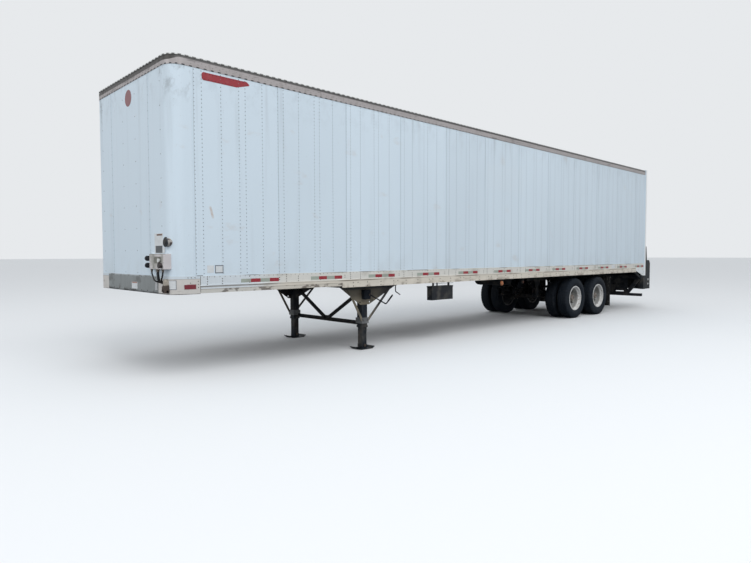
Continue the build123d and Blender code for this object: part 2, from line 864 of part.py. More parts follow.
def leg_band(half, bottom, top):
    """A square band round the left leg."""
    block(back(leg_station + half), back(leg_station - half), leg_half - half, leg_half + half,
          bottom, top)


with BuildPart() as landing_leg_left:
    leg_band(leg_tube / 2, leg_tube_bottom, rail_bottom)
    leg_band(leg_tube / 2 + ring_lap, leg_tube_bottom, leg_tube_bottom + ring_height)
    leg_band(leg_tube / 2 + collar_lap, collar_bottom, collar_top)
    leg_band(leg_inner_tube / 2, foot_thickness + foot_pin_radius, leg_tube_bottom)
    block(back(leg_station + leg_plate), back(leg_station - leg_plate),
          leg_half - leg_plate, leg_half + leg_tube / 2, rail_bottom, member_foot)
    prism(Plane.XZ.offset(-(leg_half + foot_width / 2)), (
        (back(leg_station + foot_flat / 2), 0), (back(leg_station - foot_flat / 2), 0),
        (back(leg_station - foot_length / 2), foot_rise),
        (back(leg_station - foot_length / 2), foot_rise + foot_thickness),
        (back(leg_station - foot_flat / 2), foot_thickness),
        (back(leg_station + foot_flat / 2), foot_thickness),
        (back(leg_station + foot_length / 2), foot_rise + foot_thickness),
        (back(leg_station + foot_length / 2), foot_rise)), foot_width)
    for side in (-1, 1):
        ear = leg_half + side * (leg_inner_tube / 2 + foot_ear / 2)
        block(back(leg_station + foot_ear_length / 2), back(leg_station - foot_ear_length / 2),
              ear - foot_ear / 2, ear + foot_ear / 2, foot_thickness, foot_ear_height)
    with Locations((back(leg_station), leg_half, foot_ear_height - foot_pin_radius - foot_ear)):
        Cylinder(foot_pin_radius, leg_inner_tube + 4 * foot_ear, rotation=(90, 0, 0))
keep(mirrored(landing_leg_left), "landing_leg_right")
with BuildPart() as landing_leg_left_geared:
    add(landing_leg_left.part)
    with BuildSketch(Plane.XZ.offset(-gear_face)) as gearbox:
        with Locations((back(leg_station), (gearbox_bottom + gearbox_top) / 2)):
            RectangleRounded(gearbox_width, gearbox_top - gearbox_bottom, gearbox_rounding)
    extrude(gearbox.sketch, amount=-gearbox_depth)
    with BuildSketch(Plane.XZ.offset(-(wing_face - 1))) as gearbox_neck:
        with Locations((back(leg_station), (gearbox_bottom + gearbox_top) / 2)):
            Circle(gearbox_rounding * 2)
    extrude(gearbox_neck.sketch, amount=-(wing_thickness + 2))
keep(landing_leg_left_geared, "landing_leg_left")

# Wing plates with their top flange, holes and two struts down to the collar
with BuildPart() as landing_wing_left:
    prism(Plane.XZ.offset(-gear_face), (
        (back(wing_top_front), wing_top), (back(wing_top_front), wing_top - wing_flange_drop),
        (back(leg_station - wing_toe), wing_bottom), (back(leg_station + wing_toe), wing_bottom),
        (back(wing_top_rear), wing_top - wing_flange_drop), (back(wing_top_rear), wing_top)),
        wing_thickness)
    block(back(wing_top_rear), back(wing_top_front), wing_face, wing_face + wing_flange,
          wing_top, member_foot)
    block(back(wing_top_rear), back(wing_top_front), wing_face + wing_flange - wing_thickness,
          wing_face + wing_flange, wing_top - wing_flange_drop, wing_top)
    for side in (-1, 1):
        with Locations((back(leg_station + side * wing_hole_offset), wing_face,
                        wing_hole_height)):
            Cylinder(wing_hole_radius, 4 * wing_thickness, rotation=(90, 0, 0),
                     mode=Mode.SUBTRACT)
    with Locations((back(leg_station), wing_face, (gearbox_bottom + gearbox_top) / 2)):
        Cylinder(gearbox_rounding * 2 + 1, 4 * wing_thickness, rotation=(90, 0, 0),
                 mode=Mode.SUBTRACT)
    for top_station, low_station, low_height in struts:
        bar_between(Plane.XZ.offset(-(gear_face + strut_thickness)),
                    (back(top_station), strut_top), (back(low_station), low_height),
                    strut_width, strut_thickness)
    collar_face = leg_tube / 2 + collar_lap
    block(back(leg_station + collar_face), back(leg_station - collar_face),
          wing_face, leg_half + collar_face, collar_bottom - 1, collar_top + 1,
          mode=Mode.SUBTRACT)
keep(landing_wing_left, "landing_wing_left")
keep(mirrored(landing_wing_left), "landing_wing_right")

# Cross bar and its two diagonals between the legs
leg_face = leg_half - leg_tube / 2
bar_half = leg_half - leg_tube / 2 - collar_lap
bar_rear = back(leg_station + cross_bar_leg / 2)
bar_low = cross_bar_height - cross_bar_leg / 2
with BuildPart() as landing_brace:
    prism(Plane.XZ.offset(-bar_half), (
        (bar_rear, bar_low), (bar_rear + cross_bar_leg, bar_low),
        (bar_rear + cross_bar_leg, bar_low + cross_bar_wall),
        (bar_rear + cross_bar_wall, bar_low + cross_bar_wall),
        (bar_rear + cross_bar_wall, bar_low + cross_bar_leg),
        (bar_rear, bar_low + cross_bar_leg)), 2 * bar_half)
    for side in (-1, 1):
        prism(Plane.YZ.offset(bar_rear), (
            (side * leg_face, brace_height + brace_width / 2),
            (side * leg_face, brace_height - brace_width / 2),
            (side * brace_foot, cross_bar_height),
            (side * brace_foot, cross_bar_height + brace_width)), brace_thickness)
    block(bar_rear, bar_rear + cross_bar_wall, -2 * brace_foot, 2 * brace_foot,
          bar_low, cross_bar_height + brace_width)
keep(landing_brace, "landing_brace")

# Shaft between the two legs, the crank folded against the gearbox and the hook behind it
crank_face = gear_face + gearbox_depth
crank_plane = crank_face + crank_standoff
with BuildPart() as landing_crank:
    with Locations((back(leg_station + leg_tube / 2 - shaft_offset), 0, shaft_height)):
        Cylinder(shaft_radius, 2 * leg_face, rotation=(90, 0, 0))
    crank_points = [(back(station), crank_plane, height) for station, height in crank_route]
    with BuildLine():
        handle = FilletPolyline(
            (crank_points[0][0], crank_face, crank_points[0][2]), *crank_points,
            radius=[crank_standoff - 1, crank_bend])
    with BuildSketch(Plane(origin=handle @ 0, z_dir=handle % 0)) as crank_section:
        Circle(crank_radius)
    sweep(crank_section.sketch, path=handle)
    hook_y = wing_face + wing_flange - wing_thickness / 2
    with BuildLine():
        hook = FilletPolyline(*[(back(station), hook_y, height) for station, height in crank_hook],
                              radius=crank_hook_bend)
    with BuildSketch(Plane(origin=hook @ 0, z_dir=hook % 0)) as hook_section:
        Circle(crank_hook_radius)
    sweep(hook_section.sketch, path=hook)
keep(landing_crank, "landing_crank")

# Running gear: leaf springs between two frame rails, their hangers, rockers and torque arms
spring_half = spring_track / 2
frame_bottom = member_foot - frame_height
hanger_stations = (axle_station - axle_pitch / 2, axle_station + axle_pitch / 2,
                   axle_station + axle_pitch * 1.5)
spring_seat = tyre_radius + axle_tube_radius + seat_lift
spring_bend = (leaf_half_lengths[0] ** 2 + spring_rise ** 2) / (2 * spring_rise)
spring_stack = leaf_thickness * len(leaf_half_lengths)


def leaf_height(along, level):
    """Height of the spring's curve at a distance from the axle, level millimetres up the stack."""
    return spring_seat + spring_bend - sqrt((spring_bend - level) ** 2 - along ** 2)


spring_end_top = leaf_height(leaf_half_lengths[0], spring_stack)
rocker_pin_height = spring_end_top + rocker_rise / 2
with BuildPart() as bogie_frame:
    for side in (-1, 1):
        centre = side * spring_half
        outer = centre + side * frame_width / 2
        inner = centre - side * frame_width / 2
        with BuildSketch(Plane.YZ.offset(back(frame_rear))) as channel:
            Polygon(
                (outer, frame_bottom), (outer, member_foot), (inner, member_foot),
                (inner, member_foot - frame_web),
                (outer - side * frame_web, member_foot - frame_web),
                (outer - side * frame_web, frame_bottom + frame_web),
                (inner, frame_bottom + frame_web), (inner, frame_bottom), align=None)
        extrude(channel.sketch, amount=frame_rear - frame_front)
        for station in hanger_stations:
            for plate_y in (centre - frame_width / 2 + hanger_plate, centre + frame_width / 2):
                prism(Plane.XZ.offset(-plate_y), (
                    (back(station + hanger_top_length / 2), frame_bottom),
                    (back(station + hanger_bottom_length / 2), rocker_pin_height),
                    (back(station + hanger_bottom_length / 2), hanger_bottom),
                    (back(station - hanger_bottom_length / 2), hanger_bottom),
                    (back(station - hanger_bottom_length / 2), rocker_pin_height),
                    (back(station - hanger_top_length / 2), frame_bottom)), hanger_plate)
            with Locations((back(station), centre, arm_height)):
                Cylinder(arm_bolt_radius, frame_width, rotation=(90, 0, 0))
            if station == hanger_stations[1]:
                prism(Plane.XZ.offset(-(centre + rocker_width / 2)), (
                    (back(station + rocker_half), spring_end_top),
                    (back(station - rocker_half), spring_end_top),
                    (back(station - rocker_half), spring_end_top + rocker_end),
                    (back(station - rocker_end), spring_end_top + rocker_rise),
                    (back(station + rocker_end), spring_end_top + rocker_rise),
                    (back(station + rocker_half), spring_end_top + rocker_end)), rocker_width)
                with Locations((back(station), centre, rocker_pin_height)):
                    Cylinder(rocker_pin_radius, frame_width, rotation=(90, 0, 0))
            else:
                block(back(station + hanger_pad_length / 2), back(station - hanger_pad_length / 2),
                      centre - frame_width / 2, centre + frame_width / 2, spring_end_top,
                      spring_end_top + hanger_pad_height)
    cross_half = spring_half - frame_width / 2 + frame_web
    cross_top = member_foot - frame_web - frame_cross_drop
    for station in (frame_front + frame_cross_insets[0], axle_station,
                    axle_station + axle_pitch, frame_rear - frame_cross_insets[1]):
        cross_face = back(station)
        prism(Plane.XZ.offset(-cross_half), (
            (cross_face, cross_top - frame_cross_height), (cross_face, cross_top),
            (cross_face + frame_cross_flange, cross_top),
            (cross_face + frame_cross_flange, cross_top - frame_web),
            (cross_face + frame_web, cross_top - frame_web),
            (cross_face + frame_web, cross_top - frame_cross_height + frame_web),
            (cross_face + frame_cross_flange, cross_top - frame_cross_height + frame_web),
            (cross_face + frame_cross_flange, cross_top - frame_cross_height)), 2 * cross_half)
        for side in (-1, 1):
            inner = side * (spring_half - frame_width / 2)
            block(cross_face, cross_face + frame_web, inner,
                  inner + side * (frame_width - frame_web), frame_bottom + frame_web,
                  member_foot - frame_web)
keep(bogie_frame, "bogie_frame")

with BuildPart() as leaf_springs:
    for side in (-1, 1):
        for station in wheel_stations:
            spring_y = side * spring_half
            centre = back(station)
            plane = Plane.XZ.offset(-(spring_y + spring_width / 2))
            for order, half in enumerate(leaf_half_lengths):
                high_level = spring_stack - order * leaf_thickness
                low_level = high_level - leaf_thickness
                with BuildSketch(plane) as leaf:
                    with BuildLine():
                        low = ThreePointArc(
                            (centre - half, leaf_height(half, low_level)),
                            (centre, leaf_height(0, low_level)),
                            (centre + half, leaf_height(half, low_level)))
                        high = ThreePointArc(
                            (centre + half, leaf_height(half, high_level)),
                            (centre, leaf_height(0, high_level)),
                            (centre - half, leaf_height(half, high_level)))
                        Line(low @ 1, high @ 0)
                        Line(high @ 1, low @ 0)
                    make_face()
                extrude(leaf.sketch, amount=spring_width)
            plate_x, plate_y = clip_plate_reach
            clip_top = spring_seat + spring_stack
            clip_low = tyre_radius - axle_tube_radius
            block(centre - plate_x, centre + plate_x, spring_y - plate_y, spring_y + plate_y,
                  clip_top - 1, clip_top + clip_plate)
            block(centre - plate_x, centre + plate_x, spring_y - plate_y, spring_y + plate_y,
                  clip_low - clip_plate, clip_low + clip_saddle)
            with Locations((centre, spring_y, tyre_radius)):
                Cylinder(axle_tube_radius, 3 * plate_y, rotation=(90, 0, 0), mode=Mode.SUBTRACT)
            for bolt_side in (-1, 1):
                for bolt_end in (-1, 1):
                    edge_x = centre + bolt_end * (plate_x - clip_bar_inset)
                    edge_y = spring_y + bolt_side * (plate_y - clip_bar_inset)
                    block(edge_x - clip_bar / 2, edge_x + clip_bar / 2, edge_y - clip_bar / 2,
                          edge_y + clip_bar / 2, clip_low, clip_top)
keep(leaf_springs, "leaf_springs")

# Axles: tube, spindles, brake shields, spring seats and torque arms to the hangers
axle_tube_end = drum_inner - shield_gap
for station, hanger, name in zip(wheel_stations, hanger_stations, ("axle_front", "axle_rear")):
    with BuildPart() as axle:
        with Locations((back(station), 0, tyre_radius)):
            Cylinder(axle_tube_radius, 2 * axle_tube_end, rotation=(90, 0, 0))
            Cylinder(spindle_radius, 2 * spindle_end, rotation=(90, 0, 0))
        for side in (-1, 1):
            arm_y = side * spring_half
            with Locations((back(station), side * (axle_tube_end - shield_thickness / 2),
                            tyre_radius)):
                Cylinder(shield_radius, shield_thickness, rotation=(90, 0, 0))
            block(back(station + seat_length / 2), back(station - seat_length / 2),
                  arm_y - spring_width / 2, arm_y + spring_width / 2,
                  spring_seat - seat_lift - seat_embed, spring_seat)
            rod((back(hanger), arm_y, arm_height),
                (back(station - seat_length / 2 + 1), arm_y, arm_height), arm_radius)
            with Locations((back(hanger), arm_y, arm_height)):
                Cylinder(arm_eye_radius, arm_eye_width, rotation=(90, 0, 0))
                Cylinder(arm_bolt_radius + arm_bolt_clearance, 2 * arm_eye_width,
                         rotation=(90, 0, 0), mode=Mode.SUBTRACT)
    keep(axle, name)

# Brakes: chambers with their pushrods, slack arms and cam tubes
with BuildPart() as brake_chambers:
    chamber_height = tyre_radius + chamber_lift
    cam_height = tyre_radius - cam_drop
    for side in (-1, 1):
        chamber_y = side * chamber_offset
        for station in wheel_stations:
            face = back(station - chamber_face)
            with BuildSketch(Plane.XZ.offset(-chamber_y)) as chamber:
                Polygon(*[(face + ahead, chamber_height + radius)
                          for ahead, radius in chamber_profile], align=None)
            revolve(chamber.sketch, axis=Axis((face, chamber_y, chamber_height), (1, 0, 0)))
            slack = back(station - slack_station)
            rod((slack, chamber_y, chamber_height), (face + 1, chamber_y, chamber_height),
                pushrod_radius)
            block(slack - slack_length / 2, slack + slack_length / 2, chamber_y - slack_width / 2,
                  chamber_y + slack_width / 2, cam_height - slack_length / 2,
                  chamber_height + pushrod_radius * 2)
            rod((slack, side * cam_inner_end, cam_height),
                (slack, side * (axle_tube_end - shield_thickness), cam_height), cam_radius)
            for bracket_side in (-1, 1):
                bracket_y = chamber_y + bracket_side * chamber_bracket_offset
                block(back(station), face + 1, bracket_y - chamber_bracket / 2,
                      bracket_y + chamber_bracket / 2, cam_height - cam_radius,
                      chamber_height + slack_length)
            with Locations((back(station), chamber_y, tyre_radius)):
                Cylinder(axle_tube_radius, 2 * chamber_offset, rotation=(90, 0, 0),
                         mode=Mode.SUBTRACT)
keep(brake_chambers, "brake_chambers")

with BuildPart() as air_tanks:
    tank_height = member_foot - tank_radius - tank_drop
    for station in (tank_station, tank_station + tank_pitch):
        left_end = [(along, tank_height + radius) for along, radius in tank_end]
        right_end = [(-along, tank_height + radius) for along, radius in reversed(tank_end)]
        with BuildSketch(Plane.YZ.offset(back(station))) as tank_section:
            Polygon(*left_end, *right_end, align=None)
        revolve(tank_section.sketch, axis=Axis((back(station), 0, tank_height), (0, 1, 0)))
        for side in (-1, 1):
            strap_y = side * tank_strap_offset
            with Locations((back(station), strap_y, tank_height)):
                Cylinder(tank_radius + tank_strap_thickness, tank_strap_width,
                         rotation=(90, 0, 0))
            block(back(station + tank_strap_width), back(station - tank_strap_width),
                  strap_y - tank_strap_width / 2, strap_y + tank_strap_width / 2,
                  tank_height + tank_radius - tank_strap_width, member_foot)
keep(air_tanks, "air_tanks")

with BuildPart() as mud_flap_left:
    block(back(flap_station + flap_thickness), back(flap_station), flap_inner, flap_outer,
          flap_bottom, flap_top)
    block(back(flap_station + flap_bracket), back(flap_station),
          spring_half + frame_width / 2, flap_outer, flap_top, flap_top + flap_bracket)
keep(mud_flap_left, "mud_flap_left")
keep(mirrored(mud_flap_left), "mud_flap_right")


def rim_contour(centre, drop):
    """Points across a rim from flange to flange, drop millimetres below its outside."""
    return [
        (centre - rim_half_width, bead_radius - drop),
        (centre - rim_seat_half, rim_seat_radius - drop),
        (centre - rim_well_half, rim_well_radius - drop),
        (centre + rim_well_half, rim_well_radius - drop),
        (centre + rim_seat_half, rim_seat_radius - drop),
        (centre + rim_half_width, bead_radius - drop),
    ]


def tyre_profile(centre):
    """Section of one tyre on its rim, in the YZ plane: width across, radius up."""
    left_wall = [(centre - across, radius) for across, radius in tyre_wall]
    right_wall = [(centre + across, radius) for across, radius in reversed(tyre_wall)]
    with BuildSketch(Plane.YZ) as section:
        Polygon(*left_wall, *right_wall, *reversed(rim_contour(centre, 0)), align=None)
    return section.sketch


def rim_profile(centre):
    """Section of one drop-centre rim with its two flanges."""
    edge = rim_half_width + rim_wall
    with BuildSketch(Plane.YZ) as section:
        with BuildLine():
            Polyline(
                (centre + rim_half_width, rim_flange_radius), (centre + edge, rim_flange_radius),
                (centre + edge, bead_radius - rim_wall), *reversed(rim_contour(centre, rim_wall)),
                (centre - edge, bead_radius - rim_wall), (centre - edge, rim_flange_radius),
                (centre - rim_half_width, rim_flange_radius), *rim_contour(centre, 0), close=True)
        make_face()
    return section.sketch


# Wheels: two rims and their dished discs back to back on the hub, with the drum behind
mount_face = (outer_tyre_centre + inner_tyre_centre) / 2
hub_bore = spindle_radius + spindle_clearance
disc_edge = rim_well_radius - rim_wall + 1
hub_flange_face = mount_face - disc_thickness
hub_flange_back = hub_flange_face - hub_flange_thickness
nose_end = mount_face + disc_thickness + hub_nose_reach
for station, axle_name in zip(wheel_stations, ("front", "rear")):
    with BuildPart() as tyres:
        revolve(tyre_profile(outer_tyre_centre), axis=Axis.Y)
        revolve(tyre_profile(inner_tyre_centre), axis=Axis.Y)
    tyres.part = tyres.part.moved(Location((back(station), 0, tyre_radius)))
    keep(tyres, f"tyres_{axle_name}_left")
    keep(mirrored(tyres), f"tyres_{axle_name}_right")
    with BuildPart() as wheel:
        with BuildSketch(Plane.YZ) as discs:
            for side, centre in ((1, outer_tyre_centre), (-1, inner_tyre_centre)):
                face = mount_face + side * disc_thickness
                join_at = centre - side * disc_join
                Polygon(
                    (mount_face, hub_bore), (face, hub_bore), (face, disc_flat_radius),
                    (join_at + side * disc_thickness, disc_edge), (join_at, disc_edge),
                    (mount_face, disc_flat_radius + disc_thickness), align=None)
        revolve(discs.sketch, axis=Axis.Y)
        with BuildSketch(Plane.XZ.offset(-inner_tyre_centre)) as hand_hole_pattern:
            with PolarLocations(hand_hole_circle, hand_holes):
                Circle(hand_hole_radius)
        extrude(hand_hole_pattern.sketch, amount=-dual_spacing, mode=Mode.SUBTRACT)
        for centre in (outer_tyre_centre, inner_tyre_centre):
            revolve(rim_profile(centre), axis=Axis.Y)
        with BuildSketch(Plane.YZ) as hub:
            Polygon(
                (hub_inner_end, hub_bore), (spindle_end + 10, hub_bore), (spindle_end + 10, 0),
                (hub_cap_reach, 0), (hub_cap_reach, hub_cap_radius - hub_cap_chamfer),
                (hub_cap_reach - hub_cap_chamfer, hub_cap_radius),
                (nose_end + hub_cap_flange, hub_cap_radius),
                (nose_end + hub_cap_flange, hub_nose_radius), (nose_end, hub_nose_radius),
                (mount_face + 2 * hub_pilot_reach, hub_nose_radius),
                (mount_face + hub_pilot_reach, hub_pilot_radius),
                (hub_flange_face, hub_pilot_radius), (hub_flange_face, hub_flange_radius),
                (hub_flange_back, hub_flange_radius), (hub_flange_back, hub_barrel_radius),
                (hub_inner_end, hub_barrel_radius), align=None)
            Polygon(
                (drum_inner, drum_radius - drum_wall), (drum_inner, drum_radius),
                (hub_flange_back - drum_taper, drum_radius),
                (hub_flange_back, drum_end_radius), (hub_flange_back, hub_barrel_radius),
                (hub_flange_back - drum_wall, hub_barrel_radius),
                (hub_flange_back - drum_wall, drum_end_radius - drum_wall / 2),
                (hub_flange_back - drum_taper - drum_wall / 2, drum_radius - drum_wall),
                align=None)
        revolve(hub.sketch, axis=Axis.Y)
    wheel.part = wheel.part.moved(Location((back(station), 0, tyre_radius)))
    keep(wheel, f"wheel_{axle_name}_left")
    keep(mirrored(wheel), f"wheel_{axle_name}_right")

# Front fittings: connection box, its sockets and coupling, hoses, canister and service fitting
box_half = nose_box_width / 2
with BuildPart() as nose_box:
    prism(Plane.XY.offset(nose_box_bottom), (
        (front_x - corner_reach, nose_box_centre - box_half),
        (front_x - skin_lap, nose_box_centre - box_half),
        (front_x + nose_box_depth, nose_box_centre - box_half + nose_box_taper),
        (front_x + nose_box_depth, nose_box_centre + box_half),
        (front_x - corner_reach, nose_box_centre + box_half)), nose_box_top - nose_box_bottom)
    block(front_x - corner_reach, front_x + nose_box_depth / 2,
          nose_box_centre - box_half, nose_box_centre + box_half,
          nose_box_top, nose_box_top + box_lid)
    fit_to_front(nose_box_bottom, nose_box_top + box_lid, skin_lap)
    for socket_y, socket_z, radius, reach in sockets:
        socket_face = (front_x + nose_box_depth, socket_y, socket_z)
        lid_face = (front_x + nose_box_depth + reach, socket_y, socket_z)
        rod(socket_face, lid_face, radius)
        rod((lid_face[0] - socket_lid, socket_y, socket_z), lid_face, radius + socket_lid_lap)
keep(nose_box, "nose_box")

with BuildPart() as gladhand:
    gladhand_y = nose_box_centre - box_half - gladhand_radius
    block(front_x - skin_lap, front_x - skin_lap + gladhand_bracket, gladhand_y - gladhand_radius,
          gladhand_y + gladhand_radius, nose_box_bottom, nose_box_top)
    for lift in gladhand_heights:
        coupling = (front_x - skin_lap + gladhand_face, gladhand_y, nose_box_bottom + lift)
        rod((front_x - skin_lap, gladhand_y, nose_box_bottom + lift), coupling,
            gladhand_radius / 2)
        with Locations(coupling):
            Cylinder(gladhand_radius, gladhand_radius, rotation=(90, 0, 0))
            Cylinder(gladhand_seal_radius, gladhand_seal_width, rotation=(90, 0, 0))
keep(gladhand, "gladhand")

with BuildPart() as front_hoses:
    for top_y, low_y, low_z, radius in hose_routes:
        with BuildLine() as route:
            FilletPolyline(
                (front_x + hose_standoff, top_y, nose_box_bottom),
                (front_x + hose_standoff, top_y, low_z + hose_fall),
                (front_x + hose_standoff, low_y, low_z), (front_x, low_y, low_z),
                radius=hose_bends)
        with BuildSketch(Plane(origin=route.line @ 0, z_dir=route.line % 0)) as hose_section:
            Circle(radius)
        sweep(hose_section.sketch, path=route.line)
keep(front_hoses, "front_hoses")

with BuildPart() as document_canister:
    canister_face = (front_x + canister_reach, canister_centre, canister_height)
    rod((front_x - corner_reach, canister_centre, canister_height), canister_face,
        canister_radius)
    rod((canister_face[0] - canister_cap, canister_centre, canister_height), canister_face,
        canister_radius + canister_cap_lap)
    fit_to_front(canister_height - 2 * canister_radius, canister_height + 2 * canister_radius,
                 skin_lap)
keep(document_canister, "document_canister")

with BuildPart() as service_fitting:
    block(front_x - corner_reach, front_x + fitting_depth, fitting_centre - fitting_width / 2,
          fitting_centre + fitting_width / 2, apron_bottom + fitting_lift,
          apron_bottom + fitting_lift + fitting_height)
    fit_to_front(apron_bottom, apron_bottom + 2 * fitting_height, 0)
    with Locations((front_x + fitting_depth / 2, fitting_centre,
                    apron_bottom + fitting_lift + fitting_height)):
        Cylinder(fitting_depth / 2, 2 * fitting_neck)
keep(service_fitting, "service_fitting")

# Lamps: two side markers on brackets, lamps in the rear posts and on the header
with BuildPart() as lamps:
    for side in (-1, 1):
        block(back(marker_station + marker_bracket), back(marker_station),
              side * (rail_face - marker_reach), side * rail_face, marker_height, rail_bottom)
        with Locations((back(marker_station - marker_radius / 2),
                        side * (rail_face - marker_reach / 2), marker_height)):
            Cylinder(marker_radius, marker_reach, rotation=(90, 0, 0))
        for lamp_z in rear_lamp_heights:
            with Locations((back(body_length), side * (post_inner + post_width / 2), lamp_z)):
                Cylinder(rear_lamp_radius, 2 * rear_lamp_reach, rotation=(0, 90, 0))
            block(back(body_length), back(body_length) + 10 * rear_lamp_reach,
                  side * post_inner, side * half_width, lamp_z - rear_lamp_pocket,
                  lamp_z + rear_lamp_pocket,
                  mode=Mode.SUBTRACT)
    for lamp_y in header_lamps:
        block(back(body_length + header_lamp_reach), back(body_length),
              lamp_y - header_lamp_half, lamp_y + header_lamp_half,
              header_lamp_height - header_lamp_rise, header_lamp_height + header_lamp_rise)
keep(lamps, "lamps")
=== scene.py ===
import math
import bpy
from mathutils import Matrix, Vector


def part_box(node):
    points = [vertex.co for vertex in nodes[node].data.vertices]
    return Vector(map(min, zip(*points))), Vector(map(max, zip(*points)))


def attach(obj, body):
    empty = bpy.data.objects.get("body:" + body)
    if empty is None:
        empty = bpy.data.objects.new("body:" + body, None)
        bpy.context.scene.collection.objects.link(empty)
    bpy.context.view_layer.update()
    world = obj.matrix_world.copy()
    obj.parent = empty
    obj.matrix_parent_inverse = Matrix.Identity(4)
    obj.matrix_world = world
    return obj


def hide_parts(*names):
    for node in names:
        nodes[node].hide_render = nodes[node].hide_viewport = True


# A two-axle dry van semi trailer on its landing legs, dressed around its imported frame.
# Metres, +X forward, +Y the trailer's left side, +Z up. Stations are distances behind the front face.
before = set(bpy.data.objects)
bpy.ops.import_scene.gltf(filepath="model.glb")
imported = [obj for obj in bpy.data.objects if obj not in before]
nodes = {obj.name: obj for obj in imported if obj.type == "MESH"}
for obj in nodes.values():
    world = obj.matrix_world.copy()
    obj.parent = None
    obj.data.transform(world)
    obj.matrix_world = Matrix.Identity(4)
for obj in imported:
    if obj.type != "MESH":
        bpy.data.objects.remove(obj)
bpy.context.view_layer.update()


def middle_x(node):
    """X of the middle of a node's box."""
    low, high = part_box(node)
    return (low.x + high.x) / 2


# Faces and levels taken from the frame
front_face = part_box("front_apron")[1].x
rear_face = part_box("rear_post_left")[0].x
half_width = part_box("bottom_rail_left")[1].y
rail_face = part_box("corner_casting_left")[1].y
wall_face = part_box("side_wall_left")[1].y
front_wall_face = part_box("front_wall")[1].x
rail_low, rail_top = (corner.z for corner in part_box("bottom_rail_left"))
top_rail_low, roof_level = (corner.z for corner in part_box("top_rail_left"))
apron_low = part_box("front_apron")[0].z
rail_start = front_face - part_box("bottom_rail_left")[1].x
body_length = front_face - rear_face
ends = ("front", "rear")
tyre_axles = [middle_x(f"tyres_{end}_left") for end in ends]
wheel_axles = [middle_x(f"wheel_{end}_left") for end in ends]
tyre_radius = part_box("tyres_front_left")[1].z / 2

# Side sheets, posts and their rivets
sheet_first = 0.390
sheet_pitch = 1.2225
sheet_count = 12
near_first = 0.317
near_pitch = 1.259
near_end = 1.0
rivet_radius = 0.0065
rivet_height = 0.0035
rivet_pitch = 0.050
rivet_low = rail_top + 0.030
rivet_high = top_rail_low - 0.020
post_rows = (0.005, 0.092, 0.300, 0.600, 0.700, 0.950)
near_rows = (0.325, 0.427, 0.696, 0.958, 1.055, 1.318, 1.572, 1.667, 1.930, 2.215, 2.311, 2.566)
front_seam = 0.650
front_rows = (-1.0155, -front_seam, -0.215, 0.215, front_seam, 1.0155)
front_close_pitch, front_wide_pitch = 0.100, 0.300
lap_proud = 0.0012

# Rail round the roof: rows of heads and the bright row near its top
rail_rivet_pitch = 0.098
rail_rows = (  # height over the rail's foot, shift, radius
    (0.0090, 0.0, 0.0080), (0.040, 0.0, 0.0062), (0.064, 0.049, 0.0062),
)
bead_level = roof_level - 0.0055
bow_pitch = 0.610

# Lower rail: its foot, a step higher in the raised front stretch, its lip and the cross members' bolts
foot_start, raised_end, foot_end = 0.372, 2.745, 13.990
foot_level = 1.068
front_foot_level, front_foot_top = 1.094, 1.145
lip_low, lip_top = 1.1835, 1.2015
lip_cuts = 420
member_pitch = 0.305
member_first = 2.974
member_count = 37

# Reflective tape on the lower rail
tape_first = 0.957
tape_pitch = 1.174
tape_count = 12
tape_block = 0.152
tape_height = 0.050
tape_centre = 1.236

# Front corners, connection box and canister
corner_radius = 0.190
corner_centre = (front_face - corner_radius, rail_face - corner_radius)
box_low, box_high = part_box("nose_box")
box_face = front_face + 0.070
panel_proud = 0.0025
hose_plane = front_face + 0.054
canister = (front_face + 0.025, 1.163, 1.740)
canister_cap = front_face + 0.011

# Underframe, lamps and rear door
spring_line = 0.500
spring_half = 0.0515
hanger_stations = (9.7655, 11.0105, 12.2555)
foot_pin_station, foot_pin_level = 3.455, 0.058
marker_station, turn_station, side_lamp_level = 7.925, 7.141, 0.985
rear_lamps = [(side * 1.245, height) for side in (-1, 1) for height in (1.020, 1.150)]
header_lamps = (-1.2, -0.16, 0.0, 0.16, 1.2)
header_lamp_level = roof_level - 0.075
door_panels = 9
door_low, door_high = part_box("rear_door")
door_face = door_high.x - 0.0402
panel_rise = (door_high.z - door_low.z) / door_panels

# Tyres and wheels
tyre_steps = 120
tread_depth = 0.013
rib_edges = (0.020, 0.027, 0.062, 0.069)
tyre_half = 0.1375
outer_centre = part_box("tyres_front_left")[1].y - tyre_half
inner_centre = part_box("tyres_front_left")[0].y + tyre_half
bead_radius = 0.286
lug_from, lug_to, lug_depth = 0.070, 0.120, 0.009
hub_face, cap_face = 0.985, 1.126
nut_circle = 0.1429

# Camera: place, heading, dip, roll and lens, worked out from the photograph's straight edges
camera_place = Vector((10.525, 8.1025, 1.5768))
camera_heading = math.radians(46.221)
camera_dip = math.radians(2.636)
camera_roll = math.radians(-0.111)
camera_lens = 27.52
sensor_width = 36.0

FACING = {  # the turn that points a primitive's top that way, and the way itself
    "left": ((-math.pi / 2, 0, 0), Vector((0, 1, 0))),
    "right": ((math.pi / 2, 0, 0), Vector((0, -1, 0))),
    "front": ((0, math.pi / 2, 0), Vector((1, 0, 0))),
    "rear": ((0, -math.pi / 2, 0), Vector((-1, 0, 0))),
    "up": ((0, 0, 0), Vector((0, 0, 1))),
    "down": ((math.pi, 0, 0), Vector((0, 0, -1))),
}


def back(station):
    """X of a point that lies station metres behind the front face."""
    return front_face - station


# Modelling steps
def deselect():
    bpy.ops.object.select_all(action="DESELECT")


def take(*pieces):
    """Select only these pieces, the first one active."""
    deselect()
    for piece in pieces:
        piece.select_set(True)
    bpy.context.view_layer.objects.active = pieces[0]
    return pieces[0]


